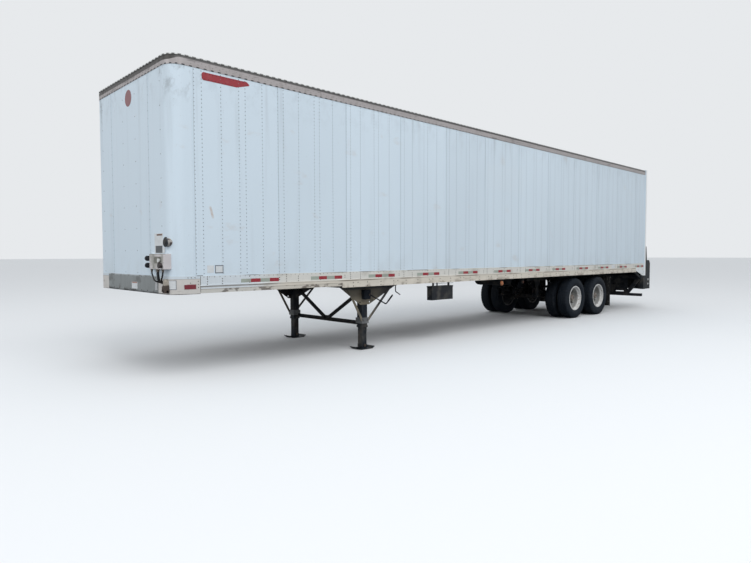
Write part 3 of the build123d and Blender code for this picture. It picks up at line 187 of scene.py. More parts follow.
def settle(name):
    """Name the piece that was just added and put its place into its mesh."""
    piece = take(bpy.context.object)
    piece.name = piece.data.name = name
    bpy.ops.object.transform_apply(location=True, rotation=True, scale=True)
    return piece


def block(name, low, high):
    """A cube primitive between two corners."""
    low, high = Vector(low), Vector(high)
    deselect()
    bpy.ops.mesh.primitive_cube_add(size=1, location=(low + high) / 2, scale=high - low)
    return settle(name)


def drum(name, centre, direction, radius, depth, sides=24):
    """A cylinder primitive whose axis points the given way, its base at centre."""
    turn, normal = FACING[direction]
    deselect()
    bpy.ops.mesh.primitive_cylinder_add(vertices=sides, radius=radius, depth=depth,
                                        location=Vector(centre) + normal * depth / 2, rotation=turn)
    return settle(name)


def bar(name, start, end, radius, sides=12):
    """A round bar between two points."""
    run = Vector(end) - Vector(start)
    deselect()
    bpy.ops.mesh.primitive_cylinder_add(vertices=sides, radius=radius, depth=run.length,
                                        location=(Vector(start) + Vector(end)) / 2,
                                        rotation=run.to_track_quat("Z", "Y").to_euler())
    return settle(name)


def close():
    """Leave edit mode."""
    bpy.ops.object.mode_set(mode="OBJECT")


def open_whole(piece):
    """Open a piece for editing with all of it selected."""
    take(piece)
    bpy.ops.object.mode_set(mode="EDIT")
    bpy.ops.mesh.select_all(action="SELECT")


def open_part(piece, kind, test):
    """Open a piece for editing with only the faces, or edges, that pass the test selected."""
    take(piece)
    bpy.ops.object.mode_set(mode="EDIT")
    bpy.ops.mesh.select_mode(type=kind)
    bpy.ops.mesh.select_all(action="DESELECT")
    close()
    for part in piece.data.polygons if kind == "FACE" else piece.data.edges:
        part.select = test(part)
    bpy.ops.object.mode_set(mode="EDIT")


def looks(direction):
    """A test for faces that look the given way."""
    normal = FACING[direction][1]
    return lambda face: face.normal.dot(normal) > 0.9


def push(move):
    """Extrude what is selected along a move."""
    bpy.ops.mesh.extrude_region_move(TRANSFORM_OT_translate={"value": move})


def inset(piece, direction, rim, lift):
    """Leave a rim round the face that looks the given way, and lift or, below zero, sink the rest."""
    open_part(piece, "FACE", looks(direction))
    bpy.ops.mesh.inset(thickness=rim)
    push(FACING[direction][1] * lift)
    close()
    return piece


def cut_away(piece, test):
    """Delete the faces that pass the test."""
    open_part(piece, "FACE", test)
    bpy.ops.mesh.delete(type="FACE")
    close()
    return piece


def bisect(piece, place, normal):
    """Cut a piece with a plane and drop what lies on its normal's side."""
    open_whole(piece)
    bpy.ops.mesh.bisect(plane_co=place, plane_no=normal, clear_outer=True, use_fill=True)
    close()


def apply(piece, kind, **settings):
    """Add a modifier with its settings and apply it."""
    take(piece)
    modifier = piece.modifiers.new("step", kind)
    for setting, value in settings.items():
        setattr(modifier, setting, value)
    bpy.ops.object.modifier_apply(modifier=modifier.name)
    return piece


def soften(piece, width, segments=2):
    """Round a piece's edges."""
    return apply(piece, "BEVEL", width=width, segments=segments, limit_method="ANGLE")


def repeat(piece, count, step):
    """Copy a piece in a row, within its own mesh."""
    return apply(piece, "ARRAY", use_relative_offset=False, use_constant_offset=True,
                 constant_offset_displace=step, count=count)


def ring(piece, steps, centre, axis):
    """Repeat a whole mesh in a ring about an axis."""
    open_whole(piece)
    bpy.ops.mesh.spin(steps=steps, dupli=True, angle=2 * math.pi * steps / (steps + 1),
                      center=centre, axis=axis)
    close()
    return piece


def copy(piece, name, move=(0, 0, 0), scale=(1, 1, 1)):
    """A copy with its own mesh, moved or scaled."""
    take(piece)
    bpy.ops.object.duplicate()
    bpy.context.object.location = move
    bpy.context.object.scale = scale
    return settle(name)


def mirrored(piece, name):
    """The same piece on the trailer's right side, with its own mesh."""
    twin = copy(piece, name, scale=(1, -1, 1))
    open_whole(twin)
    bpy.ops.mesh.flip_normals()
    close()
    return twin


def join(name, pieces):
    """Join pieces into one mesh under one name."""
    whole = take(*pieces)
    if len(pieces) > 1:
        bpy.ops.object.join()
    whole.name = whole.data.name = name
    return whole


def point(name, place):
    """One point, open for editing, from which a section is drawn."""
    deselect()
    bpy.ops.mesh.primitive_plane_add(size=0.01, location=place)
    piece = settle(name)
    bpy.ops.object.mode_set(mode="EDIT")
    bpy.ops.mesh.select_mode(type="VERT")
    bpy.ops.mesh.select_all(action="SELECT")
    bpy.ops.mesh.merge(type="CENTER")
    return piece


def lathe(name, profile, centre, steps):
    """Turn a closed profile of (across, radius) points about the axle line through centre."""
    merge_limit = 1e-5
    centre = Vector(centre)
    piece = point(name, centre + Vector((0, *profile[0])))
    for (across, radius), (last_across, last_radius) in zip(profile[1:], profile):
        push((0, across - last_across, radius - last_radius))
    bpy.ops.mesh.select_all(action="SELECT")
    bpy.ops.mesh.remove_doubles(threshold=merge_limit)
    bpy.ops.mesh.spin(steps=steps, angle=2 * math.pi, center=centre, axis=(0, 1, 0))
    bpy.ops.mesh.select_all(action="SELECT")
    bpy.ops.mesh.remove_doubles(threshold=merge_limit)
    bpy.ops.mesh.normals_make_consistent(inside=False)
    close()
    return piece


def curved_plate(name, proud, start, sweep, low, high, thickness):
    """A thin plate bent round the front corner, from one angle in degrees through a sweep."""
    radius, angle = corner_radius + proud, math.radians(start)
    piece = point(name, (corner_centre[0] + radius * math.cos(angle),
                         corner_centre[1] + radius * math.sin(angle), low))
    push((0, 0, high - low))
    bpy.ops.mesh.select_all(action="SELECT")
    bpy.ops.mesh.spin(steps=8, angle=-math.radians(sweep), center=(*corner_centre, low), axis=(0, 0, 1))
    close()
    return apply(piece, "SOLIDIFY", thickness=thickness, offset=0)


def crowned(name, place, direction, radius, height, sides, crown):
    """A short bar whose outer face is drawn in."""
    piece = drum(name, place, direction, radius, height, sides)
    open_part(piece, "FACE", looks(direction))
    bpy.ops.transform.resize(value=(crown, crown, crown),
                             center_override=Vector(place) + FACING[direction][1] * height)
    close()
    return piece


def stud(place, direction, radius, height, sides=8, crown=0.6):
    """A rivet or bolt head, open where it sits."""
    piece = crowned("stud", place, direction, radius, height, sides, crown)
    return cut_away(piece, lambda face: face.normal.dot(FACING[direction][1]) < -0.9)


def studs(name, places, direction, radius, height, sides=6, crown=0.85):
    """Several bolt heads on one face as one mesh."""
    return join(name, [stud(place, direction, radius, height, sides, crown) for place in places])


# Dressing
finishes = {}


def dress(piece, finish, body="trailer"):
    """Give a finished piece its material and slot, and the body that it rides on."""
    piece.data.materials.clear()
    piece.data.materials.append(finishes[finish])
    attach(piece, body)
    return piece


def both_sides(name, piece, finish):
    """Dress a left piece and its twin on the right side."""
    piece.name = piece.data.name = f"{name}_left"
    dress(piece, finish)
    dress(mirrored(piece, f"{name}_right"), finish)


def coat(finish, *names):
    """Give frame nodes a material; a name that ends in _ stands for a left and a right node."""
    for name in names:
        for side in ("left", "right") if name.endswith("_") else ("",):
            node = nodes[name + side]
            if not node.material_slots:
                node.data.materials.append(None)
            for place in node.material_slots:
                place.material = finishes[finish]


# Shader building; dusty paint darker than the limit hardly shines
DARK_LIMIT = 0.08


class Value:
    """A shader socket that takes part in plain sums, each of which adds its Math node."""

    def __init__(self, finish, socket):
        self.finish = finish
        self.socket = socket

    def sum(self, operation, first, second=0.0):
        return self.finish.node("ShaderNodeMath", {"operation": operation}, {0: first, 1: second})

    def __add__(self, other):
        return self.sum("ADD", self, other)

    def __sub__(self, other):
        return self.sum("SUBTRACT", self, other)

    def __rsub__(self, other):
        return self.sum("SUBTRACT", other, self)

    def __mul__(self, other):
        return self.sum("MULTIPLY", self, other)

    def __truediv__(self, other):
        return self.sum("DIVIDE", self, other)

    def __mod__(self, other):
        return self.sum("FLOORED_MODULO", self, other)

    def __abs__(self):
        return self.sum("ABSOLUTE", self)

    __radd__ = __add__
    __rmul__ = __mul__


class Finish:
    """One material: its shader, the place on the trailer, and patterns made from that place."""

    def __init__(self, name, colour, roughness=0.5, metallic=0.0, coat=0.0):
        self.material = bpy.data.materials.new(name)
        self.material.use_nodes = True
        self.tree = self.material.node_tree
        self.shader = self.tree.nodes["Principled BSDF"]
        self.place = self.node("ShaderNodeTexCoord", output="Object")
        self.x, self.y, self.z = (
            self.node("ShaderNodeSeparateXYZ", {}, {0: self.place}, axis) for axis in "XYZ")
        self.colour = colour
        self.roughness = roughness
        self.shader.inputs["Metallic"].default_value = metallic
        self.shader.inputs["Coat Weight"].default_value = coat
        self.shader.inputs["Specular IOR Level"].default_value = 0.5 if max(colour) > DARK_LIMIT else 0.15
        finishes[name] = self.material

    @property
    def station(self):
        """Distance behind the front face."""
        return front_face - self.x

    def node(self, kind, settings=None, inputs=None, output=0):
        """Add a node, set it, fill its sockets with numbers or links, and give its output."""
        made = self.tree.nodes.new(kind)
        for setting, value in (settings or {}).items():
            setattr(made, setting, value)
        for socket, value in (inputs or {}).items():
            self.feed(made.inputs[socket], value)
        return Value(self, made.outputs[output])

    def feed(self, socket, value):
        """Link a value to a socket, or write a number or colour on it."""
        if isinstance(value, Value):
            self.tree.links.new(value.socket, socket)
        elif socket.type == "RGBA":
            socket.default_value = (*value, 1)
        else:
            socket.default_value = value

    def noise(self, scale, stretch=(1, 1, 1), detail=3.0, shift=0.0, rough=0.5):
        """Cloudy pattern from 0 to 1, stretched along the trailer's axes."""
        place = self.node("ShaderNodeMapping", {}, {
            "Vector": self.place, "Scale": stretch, "Location": (shift, shift, shift)})
        return self.node("ShaderNodeTexNoise", {}, {
            "Vector": place, "Scale": scale, "Detail": detail, "Roughness": rough})

    def patches(self, low, high, *pattern, **more):
        """Patches of the cloudy pattern: none where it is below low, full where it is above high."""
        return self.rise(self.noise(*pattern, **more), low, high)

    def cells(self, value):
        """A different number from 0 to 1 for each whole step of a value."""
        step = value.sum("FLOOR", value)
        return self.node("ShaderNodeTexWhiteNoise", {"noise_dimensions": "1D"}, {"W": step})

    def joint(self, value):
        """How far a value is from its nearest whole number, where a joint lies."""
        return abs((value + 0.5) % 1 - 0.5)

    def reach(self, across, up):
        """Distance from a point that lies so far across and up."""
        return across.sum("SQRT", across * across + up * up)

    def rise(self, value, low, high):
        """0 below low, 1 above high and smooth between; it falls where low is the larger."""
        if low > high:
            return 1 - self.rise(value, high, low)
        return self.node("ShaderNodeMapRange", {"interpolation_type": "SMOOTHSTEP"}, {
            "Value": value, "From Min": low, "From Max": high})

    def band(self, value, centre, width, soft):
        """1 within half a width of a centre, fading out over soft."""
        return self.rise(abs(value - centre), width / 2 + soft, width / 2)

    def tint(self, share, colour):
        """Cover the colour so far with another one by a share from 0 to 1."""
        self.colour = self.node("ShaderNodeMix", {"data_type": "RGBA"}, {
            0: share, 6: self.colour, 7: colour}, 2)

    def shade(self, factor):
        """Make the colour so far lighter or darker by a factor."""
        self.colour = self.node("ShaderNodeVectorMath", {"operation": "SCALE"}, {
            0: self.colour, "Scale": factor})

    def finish(self, height, strength=0.3, distance=0.002):
        """Feed colour, roughness and a height for the bump to the shader."""
        self.feed(self.shader.inputs["Base Color"], self.colour)
        self.feed(self.shader.inputs["Roughness"], self.roughness)
        self.feed(self.shader.inputs["Normal"], self.node("ShaderNodeBump", {}, {
            "Height": height, "Strength": strength, "Distance": distance}))


# Colours
WHITE = (0.650, 0.757, 0.845)
DIRT = (0.250, 0.235, 0.210)
RUST = (0.150, 0.070, 0.035)
DUST = (0.300, 0.270, 0.225)
CREAM = (0.690, 0.645, 0.565)
SOOT = (0.060, 0.062, 0.060)
BRIGHT = (0.76, 0.77, 0.76)


# White sheets: streaks and scuffs shared by all, and each wall's own marks under or over them
def white_sheet(name, top_grime, under=None, over=None):
    """White painted sheet with rain streaks, specks, scuffs, splashed dust and grime near its top."""
    paint = Finish(name, WHITE)
    broad = paint.noise(0.45, detail=2)
    paint.shade(0.95 + broad * 0.10)
    if under:
        under(paint)
    streaks = paint.patches(0.54, 0.74, 1.0, (7, 7, 0.35), 4)
    paint.tint(streaks * (0.10 + paint.rise(paint.z, 2.4, 3.9) * 0.16), (0.33, 0.37, 0.40))
    paint.tint(paint.patches(0.70, 0.76, 38, detail=2) * 0.22, DIRT)
    scuffs = paint.patches(0.66, 0.74, 1.9, (1, 1, 1.8), 5, 3.1)
    paint.tint(scuffs * paint.noise(26) * 0.35, (0.52, 0.43, 0.36))
    splash = paint.rise(paint.z, 1.75, 1.30) * paint.patches(0.42, 0.68, 3.0, (1, 1, 0.6), 5)
    paint.tint(splash * 0.12, DUST)
    blotch = paint.patches(0.46, 0.66, 5.5, (1, 1, 0.7), 6, rough=0.7)
    paint.tint(blotch * paint.rise(paint.z, 3.35, 3.85) * top_grime, SOOT)
    if over:
        over(paint)
    paint.roughness = 0.36 + broad * 0.18 + streaks * 0.15
    paint.finish(paint.noise(1.4, detail=2) + paint.noise(9, detail=2) * 0.08, 0.25, 0.004)


def side_marks(paint):
    """A tone for each sheet, a slanting scuff, a faint pale field and a dark line at each seam."""
    scuff_station, scuff_height, scuff_slant = 0.545, 2.13, 0.25
    near = (paint.station - near_first) / near_pitch
    bay = near.sum("MAXIMUM", near, (paint.station - sheet_first) / sheet_pitch)
    paint.shade(0.965 + paint.cells(bay) * 0.055)
    slanted = paint.station + (paint.z - scuff_height) * scuff_slant
    scuff = paint.band(slanted, scuff_station, 0.020, 0.012) * paint.band(paint.z, scuff_height, 0.10, 0.04)
    paint.tint(scuff * paint.noise(30) * 1.2, (0.52, 0.41, 0.34))
    field = paint.band(paint.station, 7.25, 1.30, 0.10) * paint.band(paint.z, 3.15, 0.40, 0.12)
    paint.tint(field * 0.10, (0.70, 0.76, 0.80))
    seam = paint.joint(bay) * sheet_pitch
    paint.tint(paint.rise(seam, 0.0055, 0.0015) * 0.45, (0.16, 0.18, 0.20))


def front_marks(paint):
    """A dark line at each of the front wall's seams."""
    seam = abs(abs(paint.y) - front_seam)
    paint.tint(paint.rise(seam, 0.006, 0.002) * 0.5, (0.14, 0.16, 0.18))


def rear_marks(paint):
    """Pale foot and rear edge of the posts, and dark bolts low down."""
    paint.tint(paint.rise(paint.z, 1.180, 1.172) * 0.75, BRIGHT)
    paint.tint(paint.rise(paint.station, 14.552, 14.558) * 0.9, (0.88, 0.90, 0.91))
    for bolt_station, bolt_height in ((14.10, 1.130), (14.40, 1.145), (14.40, 1.020), (14.52, 1.060)):
        away = paint.reach(paint.station - bolt_station, paint.z - bolt_height)
        paint.tint(paint.rise(away, 0.016, 0.010) * 0.75, (0.12, 0.11, 0.10))


def door_paint():
    """White door panels with dirt in their joints and hand marks low down."""
    paint = Finish("white_door_panels", (0.58, 0.62, 0.64), 0.45)
    panel = (paint.z - door_low.z) / panel_rise
    paint.shade(0.95 + paint.cells(panel) * 0.07)
    paint.tint(paint.rise(paint.joint(panel), 0.06, 0.01) * 0.5, DIRT)
    paint.tint(paint.patches(0.5, 0.8, 1.2, (6, 6, 0.5), 5) * 0.3, DUST)
    hand_marks = paint.patches(0.62, 0.8, 7, detail=5) * paint.rise(paint.z, 2.2, 1.4)
    paint.tint(hand_marks * 0.4, DIRT)
    paint.finish(paint.noise(60, detail=2), 0.15, 0.001)


def top_rail_metal():
    """Bare extruded rail round the roof: grey flange, brown grime, painted shadow in its groove, a painted
    highlight along the roof's edge and painted shadow at its foot's rivets.
    """
    metal = Finish("top_rail_metal", (0.400, 0.372, 0.372), 0.5, 0.25)
    metal.shade(0.86 + metal.noise(2.2, (1, 1, 3), 4) * 0.28)
    runs = metal.patches(0.50, 0.72, 1.0, (14, 14, 1), 4)
    metal.tint(runs * 0.30, (0.215, 0.185, 0.165))
    metal.tint(metal.patches(0.60, 0.70, 2.6, (1.5, 1.5, 9), 5, 1.7) * 0.45, SOOT)
    across = metal.rise(metal.x, front_face - 0.14, front_face - 0.03)
    # Painted shadow in the groove under the roof's edge, deeper and browner across the front header
    groove = metal.rise(metal.z + across * 0.030, roof_level - 0.050, roof_level - 0.040)
    metal.tint(groove * (0.80 + across * 0.15), (0.060, 0.060, 0.058))
    metal.tint(groove * across * 0.6, (0.040, 0.032, 0.028))
    beat = metal.joint((metal.x - abs(metal.y)) / rail_rivet_pitch)
    # Painted highlight along the roof's edge, brightest in dashes at each rivet as glints
    edge = metal.rise(metal.z, roof_level - 0.0155, roof_level - 0.0135)
    metal.tint(edge * (0.22 + metal.rise(beat, 0.27, 0.21) * 0.78), BRIGHT)
    # Painted shadow in dashes round the rivets along the rail's foot
    foot = metal.rise(metal.z, top_rail_low + 0.0150, top_rail_low + 0.0125)
    metal.tint(foot * metal.rise(beat, 0.24, 0.17), (0.030, 0.028, 0.032))
    metal.tint(metal.patches(0.66, 0.72, 7.5, (1, 1, 1.5), 4, 6.3) * 0.6, (0.050, 0.035, 0.035))
    metal.roughness = 0.42 + runs * 0.25
    metal.finish(metal.noise(4, (1, 1, 8), 3))


def roof_metal():
    """Mill finish roof sheet with faint lines over its bows and grey weathering."""
    metal = Finish("roof_sheet", (0.52, 0.53, 0.53), 0.5, 0.4)
    metal.shade(0.85 + metal.noise(0.8, detail=5) * 0.3)
    bow = metal.joint(metal.x / bow_pitch)
    metal.tint(metal.rise(bow, 0.03, 0.01) * 0.35, (0.30, 0.30, 0.29))
    stains = metal.patches(0.5, 0.75, 1.6, (0.5, 2, 1), 6, 5)
    metal.tint(stains * 0.35, DIRT)
    metal.roughness = 0.38 + stains * 0.3
    metal.finish(metal.rise(bow, 0.05, 0.0) + metal.noise(2.5, detail=3) * 0.5, 0.35, 0.004)


def rail_paint():
    """Lower rail: white at the front end, cream behind, with painted shadow under its lip, along its top
    edge and on its raised foot, and dirt at its foot.
    """
    paint = Finish("lower_rail_paint", CREAM, 0.5, 0.1)
    paint.shade(0.86 + paint.noise(1.6, (1, 1, 4), 5) * 0.28)
    paint.tint(paint.rise(paint.z, 1.185, 1.200) * 0.6, (0.68, 0.70, 0.69))
    paint.tint(paint.rise(paint.station, 1.75, 0.95) * 0.85, (0.64, 0.71, 0.77))
    brushed = paint.noise(1.0, (55, 55, 2), 3)
    paint.shade(0.94 + brushed * 0.12)
    stains = paint.patches(0.52, 0.72, 3.4, (1, 1, 1.4), 6, 2.2)
    paint.tint(stains * 0.38, DUST)
    # Painted shadow in the gaps where the sheets stand off the rail's top edge
    gap = paint.patches(0.55, 0.62, 1.0, (1.55, 1.55, 0.01), 1, 4.4)
    gap *= paint.rise(paint.z, rail_top - 0.013, rail_top - 0.005)
    paint.tint(gap * 0.8, (0.14, 0.14, 0.13))
    foot = paint.rise(paint.z, rail_low + 0.055, foot_level)
    bites = paint.patches(0.48, 0.62, 6.5, (1, 1, 1.3), 5, 6)
    paint.tint(foot * bites * 0.55, (0.16, 0.12, 0.085))
    raised_foot = paint.rise(paint.z, front_foot_top + 0.003, front_foot_top)
    raised_foot *= paint.rise(paint.station, raised_end + 0.015, raised_end - 0.005)
    paint.tint(raised_foot * 0.75, (0.560, 0.530, 0.470))
    chewed = paint.patches(0.50, 0.60, 7.5, (1, 1, 1.6), 5, 8.3) * paint.rise(paint.station, 0.55, 0.68)
    paint.tint(raised_foot * chewed * 0.75, (0.085, 0.065, 0.055))
    # Painted shadow line along the top of the raised foot, as a lip casts it
    foot_edge_shadow = paint.rise(paint.z, front_foot_top - 0.008, front_foot_top - 0.003)
    paint.tint(raised_foot * foot_edge_shadow * 0.6, (0.20, 0.17, 0.14))
    # Painted shadow under the rub lip, brownish and broken along its length
    painted_lip_shadow = paint.band(paint.z, lip_low - 0.0055, 0.010, 0.010)
    paint.tint(painted_lip_shadow * paint.patches(0.42, 0.58, 1.3, (1, 1, 0.1), 2) * 0.6, (0.17, 0.12, 0.085))
    paint.roughness = 0.45 + stains * 0.25
    paint.finish(paint.noise(2.5, (1, 1, 3), 4) + brushed * 0.15, 0.4, 0.004)


def apron_metal():
    """Front lower plate: dull bare metal with upright scratches and dirt, and a ragged painted shadow along
    its foot.
    """
    metal = Finish("front_plate_metal", (0.300, 0.322, 0.325), 0.48, 0.5)
    metal.shade(0.75 + metal.noise(1.0, (60, 60, 3), 4) * 0.5)
    metal.shade(0.85 + metal.noise(2.5, detail=4) * 0.3)
    stains = metal.patches(0.52, 0.7, 4.0, (1, 1, 1.5), 6, 2)
    metal.tint(stains * 0.45, (0.10, 0.095, 0.085))
    # Painted shadow, ragged, along the plate's foot
    ragged = metal.z + metal.noise(6.0, (1, 1, 0.5), 5, 4) * 0.060
    metal.tint(metal.rise(ragged, apron_low + 0.058, apron_low + 0.036) * 0.9, (0.022, 0.021, 0.024))
    upper = metal.rise(metal.z, rail_top - 0.022, rail_top - 0.008)
    metal.tint(upper * metal.patches(0.44, 0.56, 8, (1, 1, 0.5), 4, 9), (0.50, 0.54, 0.56))
    metal.roughness = 0.38 + stains * 0.35
    metal.finish(metal.noise(12, (4, 4, 1), 3), 0.25)


def casting_paint():
    """Corner casting: pale grey paint with rub marks, its top strip white, and a ragged painted shadow along
    its foot.
    """
    paint = Finish("corner_casting_paint", (0.600, 0.580, 0.555), 0.5, 0.1)
    paint.shade(0.88 + paint.noise(5, detail=5) * 0.24)
    paint.tint(paint.patches(0.56, 0.72, 9, (1, 1, 2), 6, 3) * 0.4, DIRT)
    paint.tint(paint.rise(paint.z, rail_top - 0.042, rail_top - 0.040) * 0.55, (0.27, 0.28, 0.29))
    paint.tint(paint.rise(paint.z, rail_top - 0.036, rail_top - 0.033) * 0.90, (0.630, 0.710, 0.775))
    # Painted shadow, ragged, along the casting's foot
    ragged = paint.z + paint.noise(5.0, (1, 1, 0.3), 5, 4) * 0.040
    paint.tint(paint.rise(ragged, apron_low + 0.034, apron_low + 0.022) * 0.85, (0.035, 0.028, 0.026))
    paint.finish(paint.noise(18, detail=3))


# Steels: dust and rust shared by all, and a piece's own marks under or over the rust
def worn_steel(name, colour, dust, rust, roughness, metallic=0.0, darkest=0.80, mottle=0.4,
               under=None, over=None):
    """Painted or oily steel with dust on it and rust coming through."""
    steel = Finish(name, colour, roughness, metallic)
    steel.shade(darkest + steel.noise(3.2, detail=4) * mottle)
    grit = steel.patches(0.44, 0.70, 5.5, detail=6, shift=1.3)
    steel.tint(grit * dust, DUST)
    if under:
        under(steel, grit)
    spots = steel.patches(0.58, 0.70, 8.5, detail=6, shift=7.7, rough=0.65)
    steel.tint(spots * rust, RUST)
    if over:
        over(steel)
    steel.roughness = roughness + grit * 0.2
    steel.finish(steel.noise(22, detail=4) + spots * 0.6, 0.3, 0.0015)


def leg_collar(steel, grit):
    """Pale dusty collar round a landing leg's tube."""
    collar = steel.rise(steel.z, 0.426, 0.432) * steel.rise(steel.z, 0.530, 0.524)
    steel.tint(collar * (0.55 + grit * 0.35), (0.235, 0.240, 0.245))


def wing_runs(steel, grit):
    """Dark runs down a landing leg's wing plate, between its grit and its rust."""
    steel.tint(steel.patches(0.52, 0.70, 1.0, (16, 16, 2.0), 4, 5) * 0.5, (0.060, 0.058, 0.060))


def wing_shade(steel):
    """Painted shade on the wing plate: near black, with dirt, where its top bends under the rail, and dark
    behind, high up and inside.
    """
    slope = 0.55
    top = steel.rise(steel.z + steel.noise(2.5, detail=3) * 0.05, 1.015, 1.060)
    rear = steel.rise(steel.x + steel.z * slope, back(3.75) + slope, back(3.95) + slope)
    high = steel.rise(steel.z + steel.noise(3, detail=3, shift=8) * 0.06, 0.86, 0.96)
    inner = steel.rise(abs(steel.y), 1.0300, 1.0275) * steel.rise(steel.z, 0.72, 0.76)
    for share, colour in ((top * 0.92, (0.010, 0.012, 0.018)), (rear * 0.80, (0.020, 0.024, 0.034)),
                          (high * 0.35, (0.045, 0.043, 0.040)), (inner * 0.94, (0.008, 0.010, 0.016))):
        steel.tint(share, colour)


def plank_floor():
    """Laminated hardwood strips along the floor, worn and dirty."""
    wood = Finish("floor_strips", (0.255, 0.155, 0.080), 0.6)
    strip_width = 0.038
    strip = wood.y / strip_width
    wood.shade(0.75 + wood.cells(strip) * 0.5)
    grain = wood.noise(3.0, (1.2, 40, 10), 5)
    wood.shade(0.82 + grain * 0.36)
    wood.tint(wood.rise(wood.joint(strip), 0.06, 0.02) * 0.6, (0.05, 0.035, 0.025))
    wood.tint(wood.patches(0.5, 0.75, 2.2, detail=6) * 0.35, SOOT)
    wood.finish(grain, 0.25, 0.001)


def tyre_rubber():
    """Tyre rubber, grey with road dust on the walls."""
    rubber = Finish("tyre_rubber", (0.0095, 0.0140, 0.0210), 0.80)
    dusty = rubber.patches(0.40, 0.72, 4.2, detail=5)
    rubber.tint(dusty * 0.20, (0.070, 0.073, 0.078))
    rubber.tint(rubber.patches(0.58, 0.75, 18, detail=4) * 0.20, (0.12, 0.118, 0.112))
    rubber.roughness = 0.70 + dusty * 0.2
    rubber.finish(rubber.noise(70, detail=3), 0.25, 0.001)


def wheel_paint():
    """White wheel paint, greyer on the disc, rusty and brown towards the hub, and black inboard."""
    paint = Finish("wheel_paint", (0.66, 0.665, 0.66), 0.45)
    paint.shade(0.85 + paint.noise(6, detail=4) * 0.3)
    along = [abs(paint.x - axle_x) for axle_x in wheel_axles]
    radius = paint.reach(along[0].sum("MINIMUM", *along), paint.z - tyre_radius)
    paint.tint(paint.rise(radius, 0.262, 0.236) * 0.72, (0.135, 0.140, 0.135))
    brake_dust = paint.rise(radius, 0.200, 0.13) * (0.45 + paint.noise(14, detail=5) * 0.5)
    paint.tint(brake_dust, (0.120, 0.080, 0.058))
    chips = paint.patches(0.58, 0.68, 24, detail=6, shift=2)
    paint.tint(chips * 0.55, RUST)
    dirt = paint.patches(0.48, 0.7, 7, detail=5, shift=9)
    paint.tint(dirt * 0.3, DUST)
    paint.tint(paint.rise(abs(paint.y), 0.98, 0.90) * 0.88, (0.012, 0.013, 0.016))
    paint.roughness = 0.42 + dirt * 0.3
    paint.finish(paint.noise(40, detail=4) + chips, 0.3, 0.001)


def canister_paint():
    """Canister: black end cap, pale worn body with dark marks."""
    paint = Finish("canister_paint", (0.34, 0.32, 0.30), 0.45)
    paint.tint(paint.patches(0.46, 0.53, 11, detail=5, shift=2.6) * 0.85, (0.045, 0.028, 0.026))
    paint.tint(paint.rise(paint.x, canister_cap, canister_cap + 0.002), (0.016, 0.020, 0.028))
    paint.tint(paint.patches(0.55, 0.75, 16, detail=4) * 0.3, DUST)
    paint.finish(paint.noise(60, detail=3), 0.2, 0.0006)


def lamp_paint():
    """Red lamps at the rear; the side markers' bodies and brackets are black."""
    paint = Finish("lamp_bodies", (0.36, 0.012, 0.010), 0.25)
    paint.shade(0.88 + paint.noise(20, detail=4) * 0.24)
    paint.tint(paint.rise(paint.x, -2.0, -1.9), (0.022, 0.020, 0.020))
    paint.tint(paint.patches(0.52, 0.72, 12, detail=5) * 0.2, DIRT)
    paint.finish(paint.noise(80, detail=2), 0.12, 0.0005)


def box_paint():
    """Connection box: worn grey face, paler sides, a dark socket, and a pale one whose brightness is partly
    a painted highlight.
    """
    paint = Finish("grey_box_paint", (0.60, 0.570, 0.580), 0.45)
    paint.shade(0.86 + paint.noise(5, detail=4) * 0.28)
    face = paint.rise(paint.x, box_face - 0.002, box_face - 0.0005)
    worn = paint.patches(0.36, 0.62, 6.5, detail=6, shift=1.3)
    paint.tint(face * worn * 0.65, (0.255, 0.260, 0.215))
    spots = paint.patches(0.60, 0.68, 13, detail=6, shift=7.7, rough=0.65)
    paint.tint(spots * 0.7, (0.055, 0.040, 0.036))
    proud = paint.rise(paint.x, box_face + 0.0005, box_face + 0.0015)
    lower_socket = paint.rise(paint.z - (paint.y - 1.1275) * 1.03, 1.4865, 1.4845)
    paint.tint(proud * lower_socket, (0.026, 0.017, 0.016))
    # The small socket painted pale: partly its own colour, partly a painted highlight
    paint.tint(proud * (1 - lower_socket), (0.70, 0.71, 0.70))
    paint.finish(paint.noise(22, detail=4) + spots * 0.6, 0.3, 0.0015)


def plain(name, colour, roughness, metallic, wear, grain, coat, wear_colour):
    """A small part's finish: one colour with fine variation and some dirt."""
    small = Finish(name, colour, roughness, metallic, coat)
    small.shade(0.88 + small.noise(grain, detail=4) * 0.24)
    worn = small.patches(0.50, 0.72, grain / 2, detail=6, shift=4.2)
    small.tint(worn * wear, wear_colour)
    small.roughness = roughness + worn * 0.15
    small.finish(small.noise(grain * 3, detail=2), 0.15, 0.0006)


white_sheet("white_side_sheets", 0.10, under=side_marks)
white_sheet("white_corner_sheets", 0.45)
white_sheet("white_front_sheets", 0.12, under=front_marks)
white_sheet("white_rear_frame", 0.3, over=rear_marks)
for make in (door_paint, top_rail_metal, roof_metal, rail_paint, apron_metal, casting_paint, plank_floor,
             tyre_rubber, wheel_paint, canister_paint, lamp_paint, box_paint):
    make()
worn_steel("landing_leg_paint", (0.014, 0.019, 0.026), 0.22, 0.15, 0.5, under=leg_collar)
worn_steel("dusty_leg_plate", (0.185, 0.160, 0.115), 0.45, 0.35, 0.6, darkest=0.72, mottle=0.5,
           under=wing_runs, over=wing_shade)

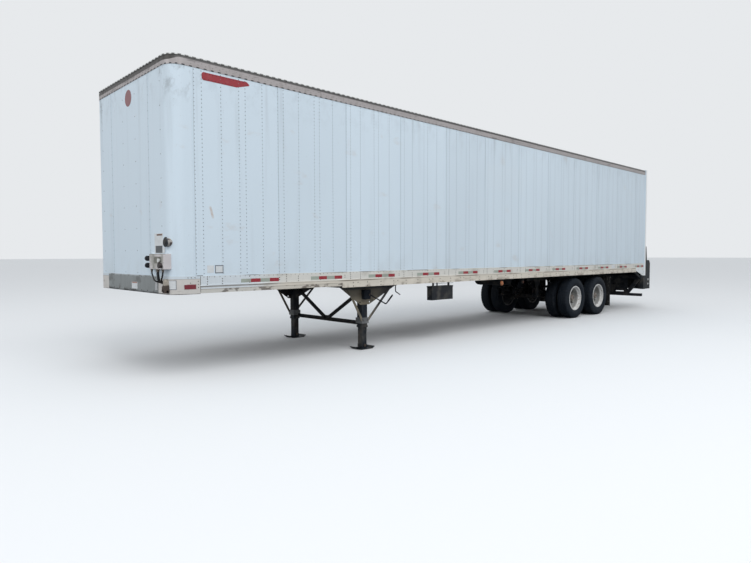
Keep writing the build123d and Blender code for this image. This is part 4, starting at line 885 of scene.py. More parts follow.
for steel in (  # name, colour, dust, rust, roughness, metallic
        ("black_painted_steel", (0.020, 0.023, 0.028), 0.18, 0.12, 0.42, 0.0),
        ("underframe_steel", (0.016, 0.018, 0.022), 0.16, 0.22, 0.65, 0.0),
        ("galvanised_steel", (0.27, 0.28, 0.28), 0.25, 0.25, 0.50, 0.5),
        ("gearbox_paint", (0.005, 0.009, 0.016), 0.05, 0.05, 0.50, 0.0),
        ("greased_bare_steel", (0.18, 0.165, 0.15), 0.10, 0.30, 0.35, 0.8),
        ("cream_fitting_paint", (0.34, 0.31, 0.265), 0.40, 0.40, 0.55, 0.0),
        ("greasy_fitting_steel", (0.070, 0.057, 0.050), 0.30, 0.40, 0.50, 0.0),
        ("brown_socket_lid", (0.045, 0.026, 0.024), 0.15, 0.25, 0.45, 0.0),
        ("grey_box_panel", (0.150, 0.155, 0.140), 0.30, 0.20, 0.50, 0.0),
        ("pale_edge_plate", (0.47, 0.49, 0.51), 0.30, 0.25, 0.50, 0.0),
        ("box_lip_paint", (0.20, 0.20, 0.19), 0.35, 0.25, 0.50, 0.0)):
    worn_steel(*steel)

for small in (  # name, colour, roughness, metallic, wear, grain, coat, colour of the wear
        ("dull_brown_lens", (0.050, 0.022, 0.014), 0.50, 0.0, 0.30, 18, 0.0, DIRT),
        ("old_amber_lens", (0.420, 0.165, 0.075), 0.25, 0.0, 0.30, 18, 0.4, DIRT),
        ("red_lamp_lens", (0.36, 0.012, 0.010), 0.18, 0.0, 0.12, 12, 0.6, DIRT),
        ("black_rubber", (0.018, 0.018, 0.019), 0.62, 0.0, 0.25, 30, 0.0, DIRT),
        ("rivet_heads", (0.165, 0.195, 0.225), 0.40, 0.5, 0.30, 20, 0.0, DIRT),
        ("rail_bolt_heads", (0.10, 0.095, 0.085), 0.45, 0.5, 0.40, 20, 0.0, RUST),
        ("rail_flange_rivets", (0.25, 0.225, 0.22), 0.45, 0.4, 0.40, 20, 0.0, DIRT),
        ("bright_roof_rivets", (0.66, 0.67, 0.66), 0.35, 0.3, 0.35, 9, 0.0, SOOT),
        ("zinc_bolts", (0.42, 0.42, 0.41), 0.38, 0.7, 0.30, 30, 0.0, DIRT),
        ("red_reflective_tape", (0.300, 0.018, 0.030), 0.40, 0.0, 0.25, 14, 0.2, (0.42, 0.20, 0.18)),
        ("white_reflective_tape", (0.350, 0.390, 0.340), 0.40, 0.0, 0.40, 14, 0.2, DIRT),
        ("faded_tape_edge", (0.46, 0.36, 0.35), 0.50, 0.0, 0.25, 16, 0.0, DIRT),
        ("old_red_reflector", (0.190, 0.018, 0.030), 0.35, 0.0, 0.30, 16, 0.3, DIRT),
        ("blank_label", (0.66, 0.69, 0.71), 0.40, 0.0, 0.12, 16, 0.0, DIRT),
        ("label_grey_field", (0.075, 0.085, 0.095), 0.45, 0.0, 0.20, 30, 0.0, DIRT),
        ("label_orange_strip", (0.33, 0.10, 0.045), 0.45, 0.0, 0.25, 30, 0.0, DIRT),
        ("label_brown_strip", (0.16, 0.085, 0.055), 0.45, 0.0, 0.25, 30, 0.0, DIRT),
        ("plate_frame", (0.20, 0.22, 0.25), 0.45, 0.3, 0.20, 30, 0.0, DIRT),
        ("red_badge", (0.310, 0.022, 0.034), 0.42, 0.0, 0.22, 10, 0.0, (0.50, 0.30, 0.28)),
        ("badge_rivets", (0.120, 0.012, 0.018), 0.45, 0.0, 0.30, 30, 0.0, DIRT),
        ("shadowed_gap", (0.018, 0.018, 0.020), 0.80, 0.0, 0.25, 18, 0.0, DIRT)):
    plain(*small)

coat("white_side_sheets", "side_wall_")
coat("white_corner_sheets", "front_corner_")
coat("white_front_sheets", "front_wall")
coat("white_rear_frame", "rear_post_", "rear_header")
coat("white_door_panels", "rear_door")
coat("top_rail_metal", "top_rail_", "front_header")
coat("roof_sheet", "roof")
coat("lower_rail_paint", "bottom_rail_")
coat("front_plate_metal", "front_apron")
coat("corner_casting_paint", "corner_casting_")
coat("black_painted_steel", "gate_column_", "gate_runner", "gate_platform", "underride_guard",
     "battery_box", "gladhand")
coat("underframe_steel", "cross_members", "bogie_frame", "leaf_springs", "axle_front", "axle_rear",
     "brake_chambers", "air_tanks", "landing_brace", "landing_crank")
coat("galvanised_steel", "coupler_plate", "rear_sill")
coat("landing_leg_paint", "landing_leg_")
coat("dusty_leg_plate", "landing_wing_")
coat("greased_bare_steel", "kingpin")
coat("floor_strips", "floor")
for end in ends:
    coat("tyre_rubber", f"tyres_{end}_")
    coat("wheel_paint", f"wheel_{end}_")
coat("black_rubber", "mud_flap_", "front_hoses")
coat("canister_paint", "document_canister")
coat("lamp_bodies", "lamps")
coat("grey_box_paint", "nose_box")
coat("cream_fitting_paint", "service_fitting")


# Walls: lap strips and rivets
def fold(direction, low, high):
    """A sheet's edge folded over an upright seam."""
    strip = block("lap", (*low, rivet_low - 0.028), (*high, rivet_high + 0.018))
    return inset(strip, direction, 0.002, 0.0006)


def side_laps():
    """A folded sheet edge over each upright seam of one side."""
    half = 0.015
    seam = back(sheet_first + 2 * sheet_pitch)
    lap = fold("left", (seam - half, wall_face), (seam + half, wall_face + lap_proud))
    repeat(lap, sheet_count - 2, (-sheet_pitch, 0, 0))
    first = copy(lap, "first_lap", (2 * sheet_pitch + sheet_first - near_first, 0, 0))
    first = cut_away(first, lambda face: face.center.x < back(near_end))
    second = copy(first, "second_lap", (-near_pitch, 0, 0))
    return join("side_laps_left", [lap, first, second])


def front_laps():
    """Folded sheet edges over the front wall's two seams."""
    half = 0.014
    return join("front_laps", [
        fold("front", (front_wall_face, seam - half), (front_wall_face + lap_proud, seam + half))
        for seam in (-front_seam, front_seam)])


def side_rivets():
    """Rows of rivets up each post and each seam of one side."""
    rows = []
    count = int((rivet_high - rivet_low) / rivet_pitch) + 1
    places = [(sheet_first + 2 * sheet_pitch + offset, sheet_count - (2 if offset < 0.5 else 3))
              for offset in post_rows]
    for station, posts in places + [(station, 1) for station in near_rows]:
        row = stud((back(station), wall_face + 0.0008, rivet_low), "left", rivet_radius, rivet_height, 6)
        repeat(row, count, (0, 0, rivet_pitch))
        rows.append(repeat(row, posts, (-sheet_pitch, 0, 0)))
    return join("side_rivets_left", rows)


def front_rivets():
    """Rivet rows on the front wall: close along the two seams, wide between them."""
    rows = []
    for across in front_rows:
        pitch = front_close_pitch if abs(across) == front_seam else front_wide_pitch
        row = stud((front_wall_face, across, rivet_low), "front", rivet_radius, rivet_height)
        rows.append(repeat(row, int((rivet_high - rivet_low) / pitch) + 1, (0, 0, pitch)))
    return join("front_rivets", rows)


both_sides("side_laps", side_laps(), "white_side_sheets")
both_sides("side_rivets", side_rivets(), "rivet_heads")
dress(front_rivets(), "rivet_heads")
dress(front_laps(), "white_front_sheets")


# Rail round the roof
def rail_row(side, start, length, height, radius, tall=0.003):
    """One row of heads along the side rail or across the front header."""
    place = (back(start), rail_face, height) if side else (front_face, start - length / 2, height)
    step = (-rail_rivet_pitch, 0, 0) if side else (0, rail_rivet_pitch, 0)
    row = stud(place, "left" if side else "front", radius, tall)
    return repeat(row, int(length / rail_rivet_pitch), step)


def rail_rivets(side):
    """Foot row, two upper rows and bright top row of one side rail or of the header."""
    first, length = (0.29, body_length - 0.42) if side else (0.02, 2.14)
    rows = [rail_row(side, first + shift, length, top_rail_low + lift, radius)
            for lift, shift, radius in rail_rows]
    beads = rail_row(side, first, length, bead_level, 0.0046, 0.0025)
    return rows[0], join("upper_rivets", rows[1:]), beads


for side, label in ((True, "top_rail"), (False, "header")):
    kinds = (("foot_rivets", "rail_bolt_heads"), ("flange_rivets", "rail_flange_rivets"),
             ("roof_edge_rivets", "bright_roof_rivets"))
    for (kind, finish), piece in zip(kinds, rail_rivets(side)):
        if side:
            both_sides(f"{label}_{kind}", piece, finish)
        else:
            dress(join(f"{label}_{kind}", [piece]), finish)


# Lower rail: foot, rub lip, bolts and tape
def rail_foot():
    """The rail's deeper lower edge, a step higher in its raised front stretch, bent in at the bottom."""
    strips = []
    for start, end, low, high in ((raised_end, foot_end, foot_level, rail_low + 0.003),
                                  (foot_start, raised_end, front_foot_level, front_foot_top)):
        strips += [block("foot", (back(end), rail_face - 0.004, low),
                         (back(start), rail_face + 0.0005, high)),
                   block("turned", (back(end), rail_face - 0.030, low),
                         (back(start), rail_face - 0.0035, low + 0.0035))]
    return join("rail_foot_left", strips)


def rub_lip():
    """The rail's outer lip, dented between its bolts."""
    dent_in, dent_down = 0.0042, 0.0110
    lip = block("lip", (rear_face + 0.135, rail_face - 0.0005, lip_low),
                (back(rail_start + 0.004), half_width - 0.0004, lip_top))

    def runs_along(edge):
        first, last = (lip.data.vertices[index].co for index in edge.vertices)
        return abs(first.x - last.x) > 1

    open_part(lip, "EDGE", runs_along)
    bpy.ops.mesh.subdivide(number_cuts=lip_cuts)
    close()
    for vertex in lip.data.vertices:
        station = front_face - vertex.co.x
        dent = max(0.0, math.sin(station * 6.1) * math.sin(station * 1.37 + 0.8) - 0.12)
        if vertex.co.y > rail_face + 0.002:
            vertex.co.y -= dent_in * dent
            vertex.co.z -= dent_down * dent
    return lip


def rail_bolts():
    """Rivets along the rail's upper edge, and bolts in pairs at each post and along its foot."""
    edge_pitch = 0.075
    edge = stud((back(rail_start + 0.05), rail_face, rail_top - 0.016), "left", 0.005, 0.003)
    groups = [repeat(edge, int((body_length - 0.55) / edge_pitch), (-edge_pitch, 0, 0))]
    for offset, heights in ((0.080, (1.300, 1.273, 1.240, 1.207)), (0.292, (1.273, 1.240, 1.207)),
                            (0.700, (1.295, 1.212)), (1.185, (1.262, 1.232))):
        for height in heights:
            bolt = stud((back(sheet_first + offset), rail_face, height), "left", 0.0078, 0.004)
            groups.append(repeat(bolt, sheet_count - 1, (-sheet_pitch, 0, 0)))
    for shift, lift, radius, count, pitch in (
            (0.0, 0.019, 0.0090, member_count, member_pitch),
            (0.0, 0.074, 0.0090, member_count, member_pitch), (0.098, 0.074, 0.0085, 12, 3 * member_pitch)):
        place = (back(member_first + shift), rail_face, foot_level + lift)
        groups.append(repeat(stud(place, "left", radius, 0.0045, 6, 0.8), count, (-pitch, 0, 0)))
    return join("rail_bolts_left", groups)


def tape(first):
    """Two blocks of tape in each group, with the next block's place left free."""
    piece = block("tape", (back(first + tape_block), rail_face, tape_centre - tape_height / 2),
                  (back(first), rail_face + 0.0006, tape_centre + tape_height / 2))
    inset(piece, "left", 0.0015, 0.0003)
    repeat(piece, 2, (-2 * tape_block, 0, 0))
    return repeat(piece, tape_count, (-tape_pitch, 0, 0))


both_sides("rail_foot", rail_foot(), "lower_rail_paint")
patch = block("rail_patch", (back(12.542), rail_face, 1.205), (back(12.332), rail_face + 0.0015, 1.295))
both_sides("rail_patch", inset(patch, "left", 0.004, -0.0004), "blank_label")
left_lip = dress(rub_lip(), "lower_rail_paint")
dress(mirrored(left_lip, "rub_lip_right"), "lower_rail_paint")
both_sides("rail_bolts", rail_bolts(), "rail_bolt_heads")
both_sides("red_tape", tape(tape_first + tape_block), "red_reflective_tape")
both_sides("white_tape", tape(tape_first), "white_reflective_tape")


# Blank labels and plates
def plate(name, centre, direction, width, height, thickness=0.0015, rim=0.004):
    """A thin plate on a wall, with a low field inside its rim."""
    normal = FACING[direction][1]
    along = Vector((0, 1, 0)) if abs(normal.x) else Vector((1, 0, 0))
    half = along * width / 2 + Vector((0, 0, height / 2))
    centre = Vector(centre)
    piece = block(name, centre - half, centre + half + normal * thickness)
    return inset(piece, direction, rim, -thickness * 0.3)


for name, wall, place, height, width, tall, finish in (  # place: Y, or the station on the side wall
        ("front_label", "front", 0.914, 1.731, 0.255, 0.255, "blank_label"),
        ("front_label_field", "front", 0.918, 1.655, 0.200, 0.090, "label_grey_field"),
        ("front_label_strip", "front", 0.938, 1.839, 0.158, 0.020, "label_brown_strip"),
        ("apron_label", "apron", 0.103, 1.169, 0.200, 0.094, "blank_label"),
        ("apron_label_strip", "apron", 0.103, 1.208, 0.170, 0.012, "label_orange_strip"),
        ("side_plate_frame", "side", 0.640, 1.397, 0.120, 0.106, "plate_frame"),
        ("side_plate_field", "side", 0.640, 1.397, 0.096, 0.082, "blank_label"),
        ("side_label", "side", 0.518, 1.400, 0.095, 0.095, "blank_label")):
    raised = 0.0012 if name.endswith(("field", "strip")) else 0.0
    if wall == "side":
        piece = plate(name, (back(place), wall_face + raised, height), "left", width, tall)
    else:
        face = front_wall_face if wall == "front" else front_face
        piece = plate(name, (face + raised, place, height), "front", width, tall)
    dress(piece, finish)

disc = drum("front_disc", (front_wall_face, 0.0, 3.730), "front", 0.112, 0.0015, 40)
dress(inset(disc, "front", 0.006, -0.0005), "old_red_reflector")


def side_badge():
    """A long red badge below the top rail: corners cut at its front end, tapering to a tail behind."""
    badge = block("side_badge", (back(1.120), wall_face, 3.790), (back(0.434), wall_face + 0.0014, 3.890))
    for station, height, normal in (
            (0.434, 3.868, (0.75, 0, 0.66)), (0.434, 3.812, (0.75, 0, -0.66)),
            (0.930, 3.790, (-0.28, 0, -0.96)), (1.120, 3.862, (-0.60, 0, 0.80))):
        bisect(badge, (back(station), wall_face, height), normal)
    return inset(badge, "left", 0.003, 0.0004)


dress(side_badge(), "red_badge")
badge_pitch = 0.049
heads = [(back(first + badge_pitch * step), wall_face + 0.001, height)
         for first, height, count in ((0.475, 3.806, 9), (0.490, 3.876, 12)) for step in range(count)]
dress(studs("badge_rivets", heads, "left", 0.0075, 0.003, 8), "badge_rivets")

# Corner castings: bolts, joint strip, reflector and blank plate
heads = [(back(station), rail_face, height) for station, height in (
    (0.344, 1.170), (0.344, 1.210), (0.344, 1.248), (0.205, rail_top - 0.020),
    (0.250, rail_top - 0.020), (0.300, rail_top - 0.020), (0.238, 1.228))]
both_sides("casting_bolts", studs("casting_bolts", heads, "left", 0.0065, 0.003), "rail_bolt_heads")
# The joint strip and the dash at the rail's end are dark strips for the shadow in those gaps
joint = block("casting_joint", (back(0.3765), rail_face - 0.001, 1.105),
              (back(0.3715), rail_face + 0.0012, rail_top - 0.005))
both_sides("casting_joint", joint, "shadowed_gap")
dash = block("rail_end_gap", (back(0.408), wall_face, rail_top - 0.001),
             (back(0.327), wall_face + 0.0035, rail_top + 0.006))
both_sides("rail_end_gap", soften(dash, 0.002), "shadowed_gap")
reflector = block("corner_reflector", (back(0.311), rail_face, 1.152),
                  (back(0.157), rail_face + 0.0012, 1.208))
dress(inset(reflector, "left", 0.0025, 0.0012), "old_red_reflector")
edging = block("reflector_edging", (back(0.317), rail_face, 1.146), (back(0.190), rail_face + 0.0006, 1.214))
dress(inset(edging, "left", 0.001, 0.0002), "faded_tape_edge")
dress(curved_plate("corner_plate_frame", 0.0012, 19, 33, 1.150, 1.265, 0.0022), "plate_frame")
dress(curved_plate("corner_plate", 0.0022, 21, 29, 1.156, 1.259, 0.0024), "blank_label")

# Front plate: upright edge strip, bolts along its top and foot
strip = block("front_plate_edge", (front_face, 0.797, 1.131), (front_face + 0.006, 0.868, 1.262))
dress(inset(strip, "front", 0.006, 0.0012), "pale_edge_plate")
top_row = repeat(stud((front_face, -0.85, rail_top - 0.020), "front", 0.0065, 0.003), 12, (0, 0.150, 0))
low_row = repeat(stud((front_face, -0.86, apron_low + 0.030), "front", 0.0090, 0.005, 6, 0.85), 9,
                 (0, 0.200, 0))
dress(join("front_plate_bolts", [top_row, low_row]), "rail_bolt_heads")

# Connection box: lid lip, face panel, screws, socket lids and coupling seals
lip = block("box_lid_lip", (front_face + 0.0005, 0.712, box_high.z - 0.012),
            (front_face + 0.0375, box_high.y - 0.010, box_high.z - 0.0005))
dress(soften(lip, 0.002), "box_lip_paint")
panel = block("box_face_panel", (box_face, 0.935, 1.478), (box_face + panel_proud, 1.150, 1.562))
dress(inset(panel, "front", 0.005, -0.0012), "grey_box_panel")
screws = [(box_face, across, height) for across in (0.805, 1.187) for height in (1.420, 1.575)]
screws += [(box_face + panel_proud, across, height)
           for across in (0.944, 1.141) for height in (1.487, 1.553)]
dress(studs("box_screws", screws, "front", 0.0050, 0.003, 10), "zinc_bolts")
cover_edge = block("box_cover_edge", (box_face, 0.905, 1.407), (box_face + 0.0015, 0.910, 1.589))
dress(cover_edge, "box_lip_paint")
collars = []
for name, finish, across, height, radius, reach in (
        ("socket_lids", "brown_socket_lid", 1.160, 1.452, 0.031, 0.044),
        ("small_socket_lid", "zinc_bolts", 1.095, 1.515, 0.022, 0.022)):
    lid_face = box_face + reach
    dish = drum("dish", (lid_face - 0.0060, across, height), "front", radius + 0.0012, 0.0058, 28)
    inset(dish, "front", radius * 0.3, -0.0009)
    ear_level = height + radius
    ear = block("ear", (lid_face - 0.012, across - 0.011, ear_level),
                (lid_face - 0.0005, across + 0.011, ear_level + 0.012))
    pin = bar("pin", (lid_face - 0.005, across - 0.016, ear_level + 0.008),
              (lid_face - 0.005, across + 0.016, ear_level + 0.008), 0.0030)
    dress(join(name, [dish, ear, pin]), finish)
    collars.append(drum("collar", (box_face, across, height), "front", radius + 0.008, 0.006, 8))
dress(join("socket_collars", collars), "zinc_bolts")
seal_section = [(0.0005, 0.010), (-0.0030, 0.011), (-0.0030, 0.0175), (0.0005, 0.0185), (0.0005, 0.010)]
seals = [lathe("seal", seal_section, (front_face + 0.042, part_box("gladhand")[0].y, box_low.z + lift), 28)
         for lift in (0.045, 0.135)]
dress(join("coupling_seals", seals), "black_rubber")

# Hoses' nuts, at the box's foot and where they enter the front plate
nuts = []
for top_y, low_y, low_z, hose_radius in (
        (0.820, 0.905, 1.240, 0.009), (1.005, 1.030, 1.235, 0.016), (1.150, 1.080, 1.240, 0.009)):
    nuts += [drum("nut", (hose_plane, top_y, box_low.z), "down", hose_radius + 0.0065, 0.016, 6),
             drum("sleeve", (hose_plane, top_y, box_low.z - 0.016), "down", hose_radius + 0.003, 0.020, 20),
             drum("nut", (front_face, low_y, low_z), "front", hose_radius + 0.0065, 0.010, 6)]
dress(join("hose_nuts", nuts), "greasy_fitting_steel")

# Canister: stepped cap face, latch and the blank label below it
cap = inset(drum("cap", canister, "front", 0.0575, 0.002, 36), "front", 0.006, -0.0015)
hub = inset(drum("hub", canister, "front", 0.030, 0.004, 28), "front", 0.004, 0.0010)
latch = block("latch", (front_face + 0.004, 1.150, 1.796), (front_face + 0.027, 1.176, 1.8045))
dress(join("canister_cap", [cap, hub, soften(latch, 0.0015)]), "black_painted_steel")
dress(plate("canister_label", (front_face - 0.0002, 1.073, 1.646), "front", 0.050, 0.066), "blank_label")


# Supply valve on the left corner, in place of its plain block
def supply_valve():
    """Cream valve body with a neck."""
    upper = block("supply_valve_body", (front_face - 0.014, 1.120, 1.198),
                  (front_face + 0.045, 1.172, 1.262))
    soften(upper, 0.008, 3)
    neck = crowned("neck", (front_face + 0.020, 1.146, 1.258), "up", 0.019, 0.022, 24, 0.86)
    return join("supply_valve_body", [upper, neck])


def valve_foot():
    """Greasy block under the valve, with an open port, a bracket and a lever."""
    foot = block("foot", (front_face - 0.015, 1.113, 1.106), (front_face + 0.050, 1.178, 1.203))
    port = drum("port", (front_face + 0.050, 1.140, 1.140), "front", 0.017, 0.007, 6)
    bracket = block("bracket", (front_face, 1.112, 1.170), (front_face + 0.004, 1.180, 1.212))
    lever = bar("lever", (front_face + 0.050, 1.118, 1.190), (front_face + 0.056, 1.116, 1.125), 0.005)
    parts = [soften(foot, 0.006), inset(port, "front", 0.006, -0.009), bracket, lever]
    return join("supply_valve_foot", parts)


valve = dress(supply_valve(), "cream_fitting_paint")
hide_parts("service_fitting")
dress(valve_foot(), "greasy_fitting_steel")
port = drum("supply_valve_port", (front_face + 0.012, 1.178, 1.127), "left", 0.0150, 0.002, 24)
dress(inset(port, "left", 0.003, -0.004), "shadowed_gap")


# Landing gear: bolts, gearbox cover, crank grip and foot pin washers
def landing_bolts():
    """Bolts on one wing's lip, its struts and its collar."""
    places = [(back(2.98 + 0.164 * step), 1.0745, 1.048) for step in range(8)]
    for stations, face, height in (((3.060, 4.090), 1.0405, 1.035), ((3.400, 3.510), 1.0405, 0.497),
                                   ((3.410, 3.500), 1.0425, 0.4775)):
        places += [(back(station), face, height) for station in stations]
    return studs("landing_bolts", places, "left", 0.0110, 0.007)


def gearbox_cover():
    """Raised cover on the gearbox's outer face, held by four bolts."""
    cover = block("gearbox_cover", (back(3.530), 1.0945, 0.842), (back(3.380), 1.0990, 0.998))
    corners = [(back(station), 1.0985, height) for station in (3.388, 3.522) for height in (0.850, 0.990)]
    return join("gearbox_cover", [inset(cover, "left", 0.014, 0.0030),
                                  studs("bolts", corners, "left", 0.0055, 0.005)])


def pin_washers():
    """Washer and pin end on both faces of the foot's hinge."""
    parts = []
    for across, direction in ((1.0325, "left"), (0.8975, "right")):
        place = (back(foot_pin_station), across, foot_pin_level)
        parts += [drum("washer", place, direction, 0.026, 0.005, 24),
                  drum("pin", place, direction, 0.014, 0.012, 16)]
    return join("foot_washers", parts)


both_sides("landing_bolts", landing_bolts(), "rail_bolt_heads")
both_sides("gearbox_cover", gearbox_cover(), "gearbox_paint")
both_sides("foot_washers", pin_washers(), "greasy_fitting_steel")
boss = drum("crank_boss", (back(3.500), 1.1015, 0.915), "left", 0.020, 0.010, 24)
dress(inset(boss, "left", 0.005, 0.002), "greasy_fitting_steel")
grip = bar("crank_grip", (back(3.930), 1.111, 0.782), (back(4.030), 1.111, 0.875), 0.0145, 20)
dress(soften(grip, 0.003), "black_rubber")


# Underframe: spring clip nuts, hanger bolts and brake chamber bolts
def clip_nuts():
    """Nut and thread end under each corner of a spring's clip plate."""
    parts = []
    for axle_x in tyre_axles:
        for along in (-0.078, 0.078):
            for across in (-0.052, 0.052):
                place = (axle_x + along, spring_line + across, 0.4155)
                parts += [drum("nut", place, "down", 0.0155, 0.017, 6),
                          drum("thread", place, "down", 0.0085, 0.032, 12)]
    return join("clip_nuts", parts)


def hanger_bolts():
    """Bolt heads through each spring hanger, and the rocker's pin ends."""
    parts = []
    for across, direction in ((spring_half, "left"), (-spring_half, "right")):
        for station in hanger_stations:
            place = (back(station), spring_line + across, 0.535)
            parts.append(stud(place, direction, 0.0190, 0.014, 6, 0.85))
        middle = (back(hanger_stations[1]), spring_line + across, 0.7597)
        parts.append(stud(middle, direction, 0.0280, 0.012, 20, 0.85))
    return join("hanger_bolts", parts)


def chamber_bolts():
    """Bolts of the clamp band round each brake chamber."""
    parts = []
    for axle_x in tyre_axles:
        centre = Vector((axle_x + 0.198, 0.330, 0.6105))
        head = stud(centre + Vector((0, 0, 0.0860)), "front", 0.0075, 0.010, 6, 0.85)
        parts.append(ring(head, 7, centre, (1, 0, 0)))
    return join("chamber_bolts", parts)


both_sides("clip_nuts", clip_nuts(), "rail_bolt_heads")
both_sides("hanger_bolts", hanger_bolts(), "rail_bolt_heads")
both_sides("chamber_bolts", chamber_bolts(), "zinc_bolts")

# Side lamps: a marker's rim and lens, and a round turn lamp in its bowl with a domed lens
for label, side in (("left", 1), ("right", -1)):
    rim = drum("rim", (back(marker_station), side * (rail_face - 0.001), side_lamp_level), label,
               0.0298, 0.0035, 32)
    dress(join(f"marker_rim_{label}", [rim]), "black_rubber")
    lens = drum("lens", (back(marker_station), side * (rail_face + 0.0020), side_lamp_level), label,
                0.0262, 0.0025, 32)
    inset(lens, label, 0.006, 0.0010)
    dress(join(f"marker_lens_{label}", [lens]), "dull_brown_lens")
    turn_face = side * (rail_face - 0.042)
    holder = block("holder", (back(7.170), min(turn_face, side * rail_face), side_lamp_level),
                   (back(7.164), max(turn_face, side * rail_face), rail_low + 0.002))
    bowl = drum("bowl", (back(turn_station), turn_face, side_lamp_level), label, 0.0470, 0.0285, 36)
    dress(join(f"turn_lamp_body_{label}", [soften(holder, 0.001), soften(bowl, 0.002)]), "black_rubber")
    glass = drum("glass", (back(turn_station), side * (rail_face - 0.0365), side_lamp_level), label,
                 0.0445, 0.0100, 36)
    for shrink, lift in ((0.004, 0.0110), (0.007, 0.0090), (0.010, 0.0070), (0.011, 0.0035)):
        inset(glass, label, shrink, lift)
    dress(join(f"turn_lamp_lens_{label}", [glass]), "old_amber_lens")

# Rear lamps: black rims and raised red lenses in the posts, and five lenses in the header
rims = [inset(drum("rim", (rear_face + 0.001, across, height), "rear", 0.0490, 0.0065, 36), "rear",
              0.0065, -0.0040) for across, height in rear_lamps]
dress(join("rear_lamp_rims", rims), "black_rubber")
lenses = [inset(drum("lens", (rear_face - 0.0025, across, height), "rear", 0.0405, 0.0040, 36), "rear",
                0.005, 0.0015) for across, height in rear_lamps]
lenses += [soften(block("lens", (rear_face - 0.0260, across - 0.042, header_lamp_level - 0.011),
                        (rear_face - 0.0215, across + 0.042, header_lamp_level + 0.011)), 0.002)
           for across in header_lamps]
dress(join("lamp_lenses", lenses), "red_lamp_lens")

# Rear door: pairs of rivets beside each panel joint, at the hinges and the side edges
columns = [stud((door_face, across + shift, door_low.z + lift), "rear", 0.0055, 0.003, 6)
           for across in (-1.060, -0.560, 0.0, 0.560, 1.060) for shift in (-0.028, 0.028)
           for lift in (0.040, panel_rise - 0.040)]
for column in columns:
    repeat(column, door_panels, (0, 0, panel_rise))
dress(join("door_rivets", columns), "rail_flange_rivets")

# Mud flaps: bolts along their upper edge
flap_low, flap_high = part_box("mud_flap_left")
heads = [(flap_low.x + 0.0005, flap_low.y + 0.06 + 0.122 * step, flap_high.z - 0.030) for step in range(6)]
both_sides("flap_bolts", studs("flap_bolts", heads, "rear", 0.0110, 0.006), "rail_bolt_heads")

# Battery box: lid edge and two latches
battery_low, battery_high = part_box("battery_box")
parts = [block("lid", (battery_low.x + 0.004, battery_high.y - 0.002, battery_high.z - 0.052),
               (battery_high.x - 0.004, battery_high.y + 0.004, battery_high.z - 0.046))]
for share in (0.22, 0.78):
    along = battery_low.x + (battery_high.x - battery_low.x) * share
    latch = block("latch", (along - 0.016, battery_high.y - 0.002, battery_high.z - 0.095),
                  (along + 0.016, battery_high.y + 0.008, battery_high.z - 0.030))
    parts.append(soften(latch, 0.003))
dress(join("battery_box_latches", parts), "black_painted_steel")


# Tyres: crowned tread with grooves and shoulder lugs, replacing the plain rings
def tyre_profile():
    """Half section from the tread's middle to the bead, mirrored into a whole one and closed."""
    top = tyre_radius
    half = [(0.0, top)]
    for low, high in (rib_edges[:2], rib_edges[2:]):
        half += [(low, top - 0.0005), (low + 0.001, top - tread_depth),
                 (high - 0.001, top - tread_depth), (high, top - 0.001)]
    half += [(0.100, top - 0.003), (0.112, top - 0.010), (0.121, top - 0.030), (0.129, top - 0.055),
             (tyre_half, top - 0.100), (0.1365, top - 0.125), (0.127, top - 0.165), (0.112, top - 0.190),
             (0.109, bead_radius + 0.0155), (0.104, bead_radius + 0.015), (0.104, bead_radius)]
    section = [(-across, radius) for across, radius in reversed(half[1:])] + half
    return section + section[:1]


def tyre(axle_x, across):
    """One tyre, its shoulders cut across by lug grooves."""
    middle = Vector((axle_x, across, tyre_radius))
    piece = lathe("tyre", tyre_profile(), middle, tyre_steps)

    def groove(face):
        reach = face.center - middle
        step = int(math.atan2(reach.z, reach.x) / (2 * math.pi) * tyre_steps + tyre_steps)
        outside = math.hypot(reach.x, reach.z) > tyre_radius - 0.022
        return lug_from < abs(reach.y) < lug_to and outside and step % 3 == 0

    open_part(piece, "FACE", groove)
    bpy.ops.mesh.extrude_region_shrink_fatten(TRANSFORM_OT_shrink_fatten={"value": -lug_depth})
    close()
    take(piece)
    bpy.ops.object.shade_smooth_by_angle(angle=math.radians(28))
    return piece


for end, axle_x in zip(ends, tyre_axles):
    pair = [tyre(axle_x, centre) for centre in (outer_centre, inner_centre)]
    left = join(f"tread_tyres_{end}_left", pair)
    right = mirrored(left, f"tread_tyres_{end}_right")
    for piece, side in ((left, "left"), (right, "right")):
        dress(piece, "tyre_rubber", f"wheels_{end}_{side}")
        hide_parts(f"tyres_{end}_{side}")


# Wheel nuts, hub cap bolts and valve stem
def wheel_nuts(name, axle_x):
    """Ten nuts with their stud ends on the hub's flange, the hub cap's bolts and middle, and the valve."""
    place = (axle_x, hub_face, tyre_radius + nut_circle)
    nut = join("nut", [crowned("nut", place, "left", 0.0195, 0.022, 6, 0.86),
                       crowned("stud_end", place, "left", 0.0105, 0.040, 10, 0.8)])
    nuts = ring(nut, 9, (axle_x, hub_face, tyre_radius), (0, 1, 0))
    cap_bolt = stud((axle_x, cap_face, tyre_radius + 0.079), "left", 0.0085, 0.007, 6, 0.85)
    cap_bolts = ring(cap_bolt, 5, (axle_x, cap_face, tyre_radius), (0, 1, 0))
    centre = drum("cap_centre", (axle_x, 1.1895, tyre_radius), "left", 0.020, 0.004, 24)
    inset(centre, "left", 0.004, -0.002)
    stem = bar("stem", (axle_x + 0.030, 1.030, tyre_radius + 0.243),
               (axle_x + 0.027, 1.115, tyre_radius + 0.222), 0.0045, 10)
    valve_cap = bar("valve_cap", (axle_x + 0.027, 1.108, tyre_radius + 0.2237),
                    (axle_x + 0.0265, 1.128, tyre_radius + 0.2187), 0.0062, 12)
    return join(name, [nuts, cap_bolts, centre, stem, valve_cap])


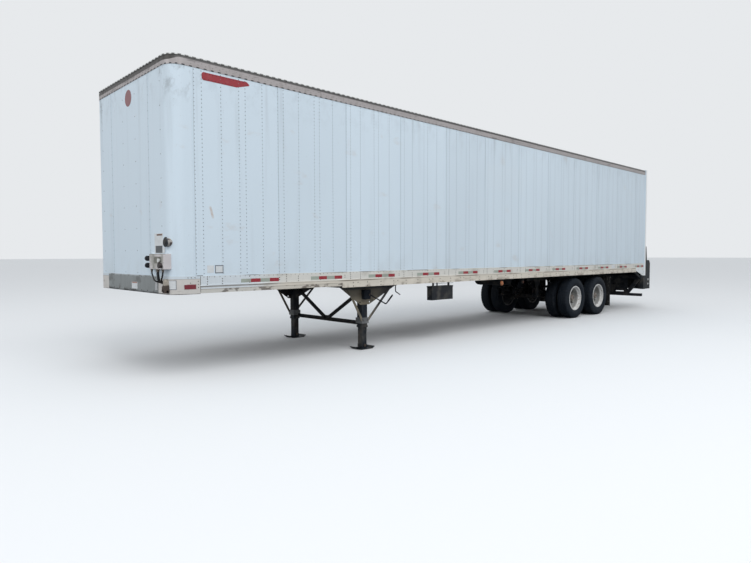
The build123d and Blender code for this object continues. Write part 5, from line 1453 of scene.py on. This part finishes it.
for end, axle_x in zip(ends, wheel_axles):
    left = wheel_nuts(f"wheel_nuts_{end}_left", axle_x)
    right = mirrored(left, f"wheel_nuts_{end}_right")
    for piece, side in ((left, "left"), (right, "right")):
        dress(piece, "rail_bolt_heads", f"wheels_{end}_{side}")


# Ground, light and camera
def ground():
    """A pale floor that bounces less light than it shows, as the object would stand on asphalt."""
    deselect()
    bpy.ops.mesh.primitive_plane_add(size=600)
    floor = settle("ground")
    surface = Finish("pale_ground", (0.70, 0.72, 0.74))
    seen = surface.node("ShaderNodeLightPath", output="Is Camera Ray")
    colour = surface.node("ShaderNodeMix", {"data_type": "RGBA"}, {
        0: seen, 6: (0.20, 0.21, 0.22), 7: (0.74, 0.76, 0.78)}, 2)
    surface.feed(surface.shader.inputs["Base Color"], colour)
    surface.feed(surface.shader.inputs["Roughness"], 0.9)
    floor.data.materials.append(surface.material)


def sky():
    """An even overcast sky, pale where the camera sees it."""
    world = bpy.data.worlds.new("overcast")
    bpy.context.scene.world = world
    world.use_nodes = True
    tree = world.node_tree
    tree.nodes.clear()
    output, shown, light, path, mix = (tree.nodes.new(f"ShaderNode{kind}") for kind in (
        "OutputWorld", "Background", "Background", "LightPath", "MixShader"))
    shown.inputs["Color"].default_value = (0.80, 0.82, 0.84, 1)
    light.inputs["Color"].default_value = (0.96, 0.98, 1.0, 1)
    light.inputs["Strength"].default_value = 0.84
    seen = path.outputs["Is Camera Ray"]
    for ray in ("Is Glossy Ray", "Is Transmission Ray"):
        either = tree.nodes.new("ShaderNodeMath")
        either.operation = "MAXIMUM"
        tree.links.new(seen, either.inputs[0])
        tree.links.new(path.outputs[ray], either.inputs[1])
        seen = either.outputs[0]
    for source, socket in ((seen, mix.inputs["Fac"]), (light.outputs[0], mix.inputs[1]),
                           (shown.outputs[0], mix.inputs[2]), (mix.outputs[0], output.inputs["Surface"])):
        tree.links.new(source, socket)


def soft_box(name, place, target, size, power):
    """A large soft lamp aimed at a point."""
    lamp = bpy.data.lights.new(name, "AREA")
    lamp.shape = "SQUARE"
    lamp.size = size
    lamp.energy = power
    holder = bpy.data.objects.new(name, lamp)
    bpy.context.scene.collection.objects.link(holder)
    holder.location = place
    aim = Vector(target) - Vector(place)
    holder.rotation_euler = aim.to_track_quat("-Z", "Y").to_euler()


def set_camera():
    """The photograph's camera, from its place, heading, dip and roll."""
    ahead = Vector((-math.cos(camera_dip) * math.cos(camera_heading),
                    -math.cos(camera_dip) * math.sin(camera_heading), -math.sin(camera_dip)))
    level_right = ahead.cross(Vector((0, 0, 1))).normalized()
    level_up = level_right.cross(ahead)
    right = math.cos(camera_roll) * level_right + math.sin(camera_roll) * level_up
    up = math.cos(camera_roll) * level_up - math.sin(camera_roll) * level_right
    camera_data = bpy.data.cameras.new("camera")
    camera_data.lens = camera_lens
    camera_data.sensor_width = sensor_width
    camera_data.clip_end = 1000
    camera = bpy.data.objects.new("camera", camera_data)
    bpy.context.scene.collection.objects.link(camera)
    turn = Matrix((right, up, -ahead)).transposed().to_4x4()
    camera.matrix_world = Matrix.Translation(camera_place) @ turn
    bpy.context.scene.camera = camera


ground()
sky()
soft_box("high_soft_box", (6, 14, 18), (0, 0, 2), 16, 2200)
soft_box("front_soft_box", (26, 1, 10), (6, 0, 2), 14, 900)
set_camera()
bpy.context.scene.view_settings.view_transform = "Standard"
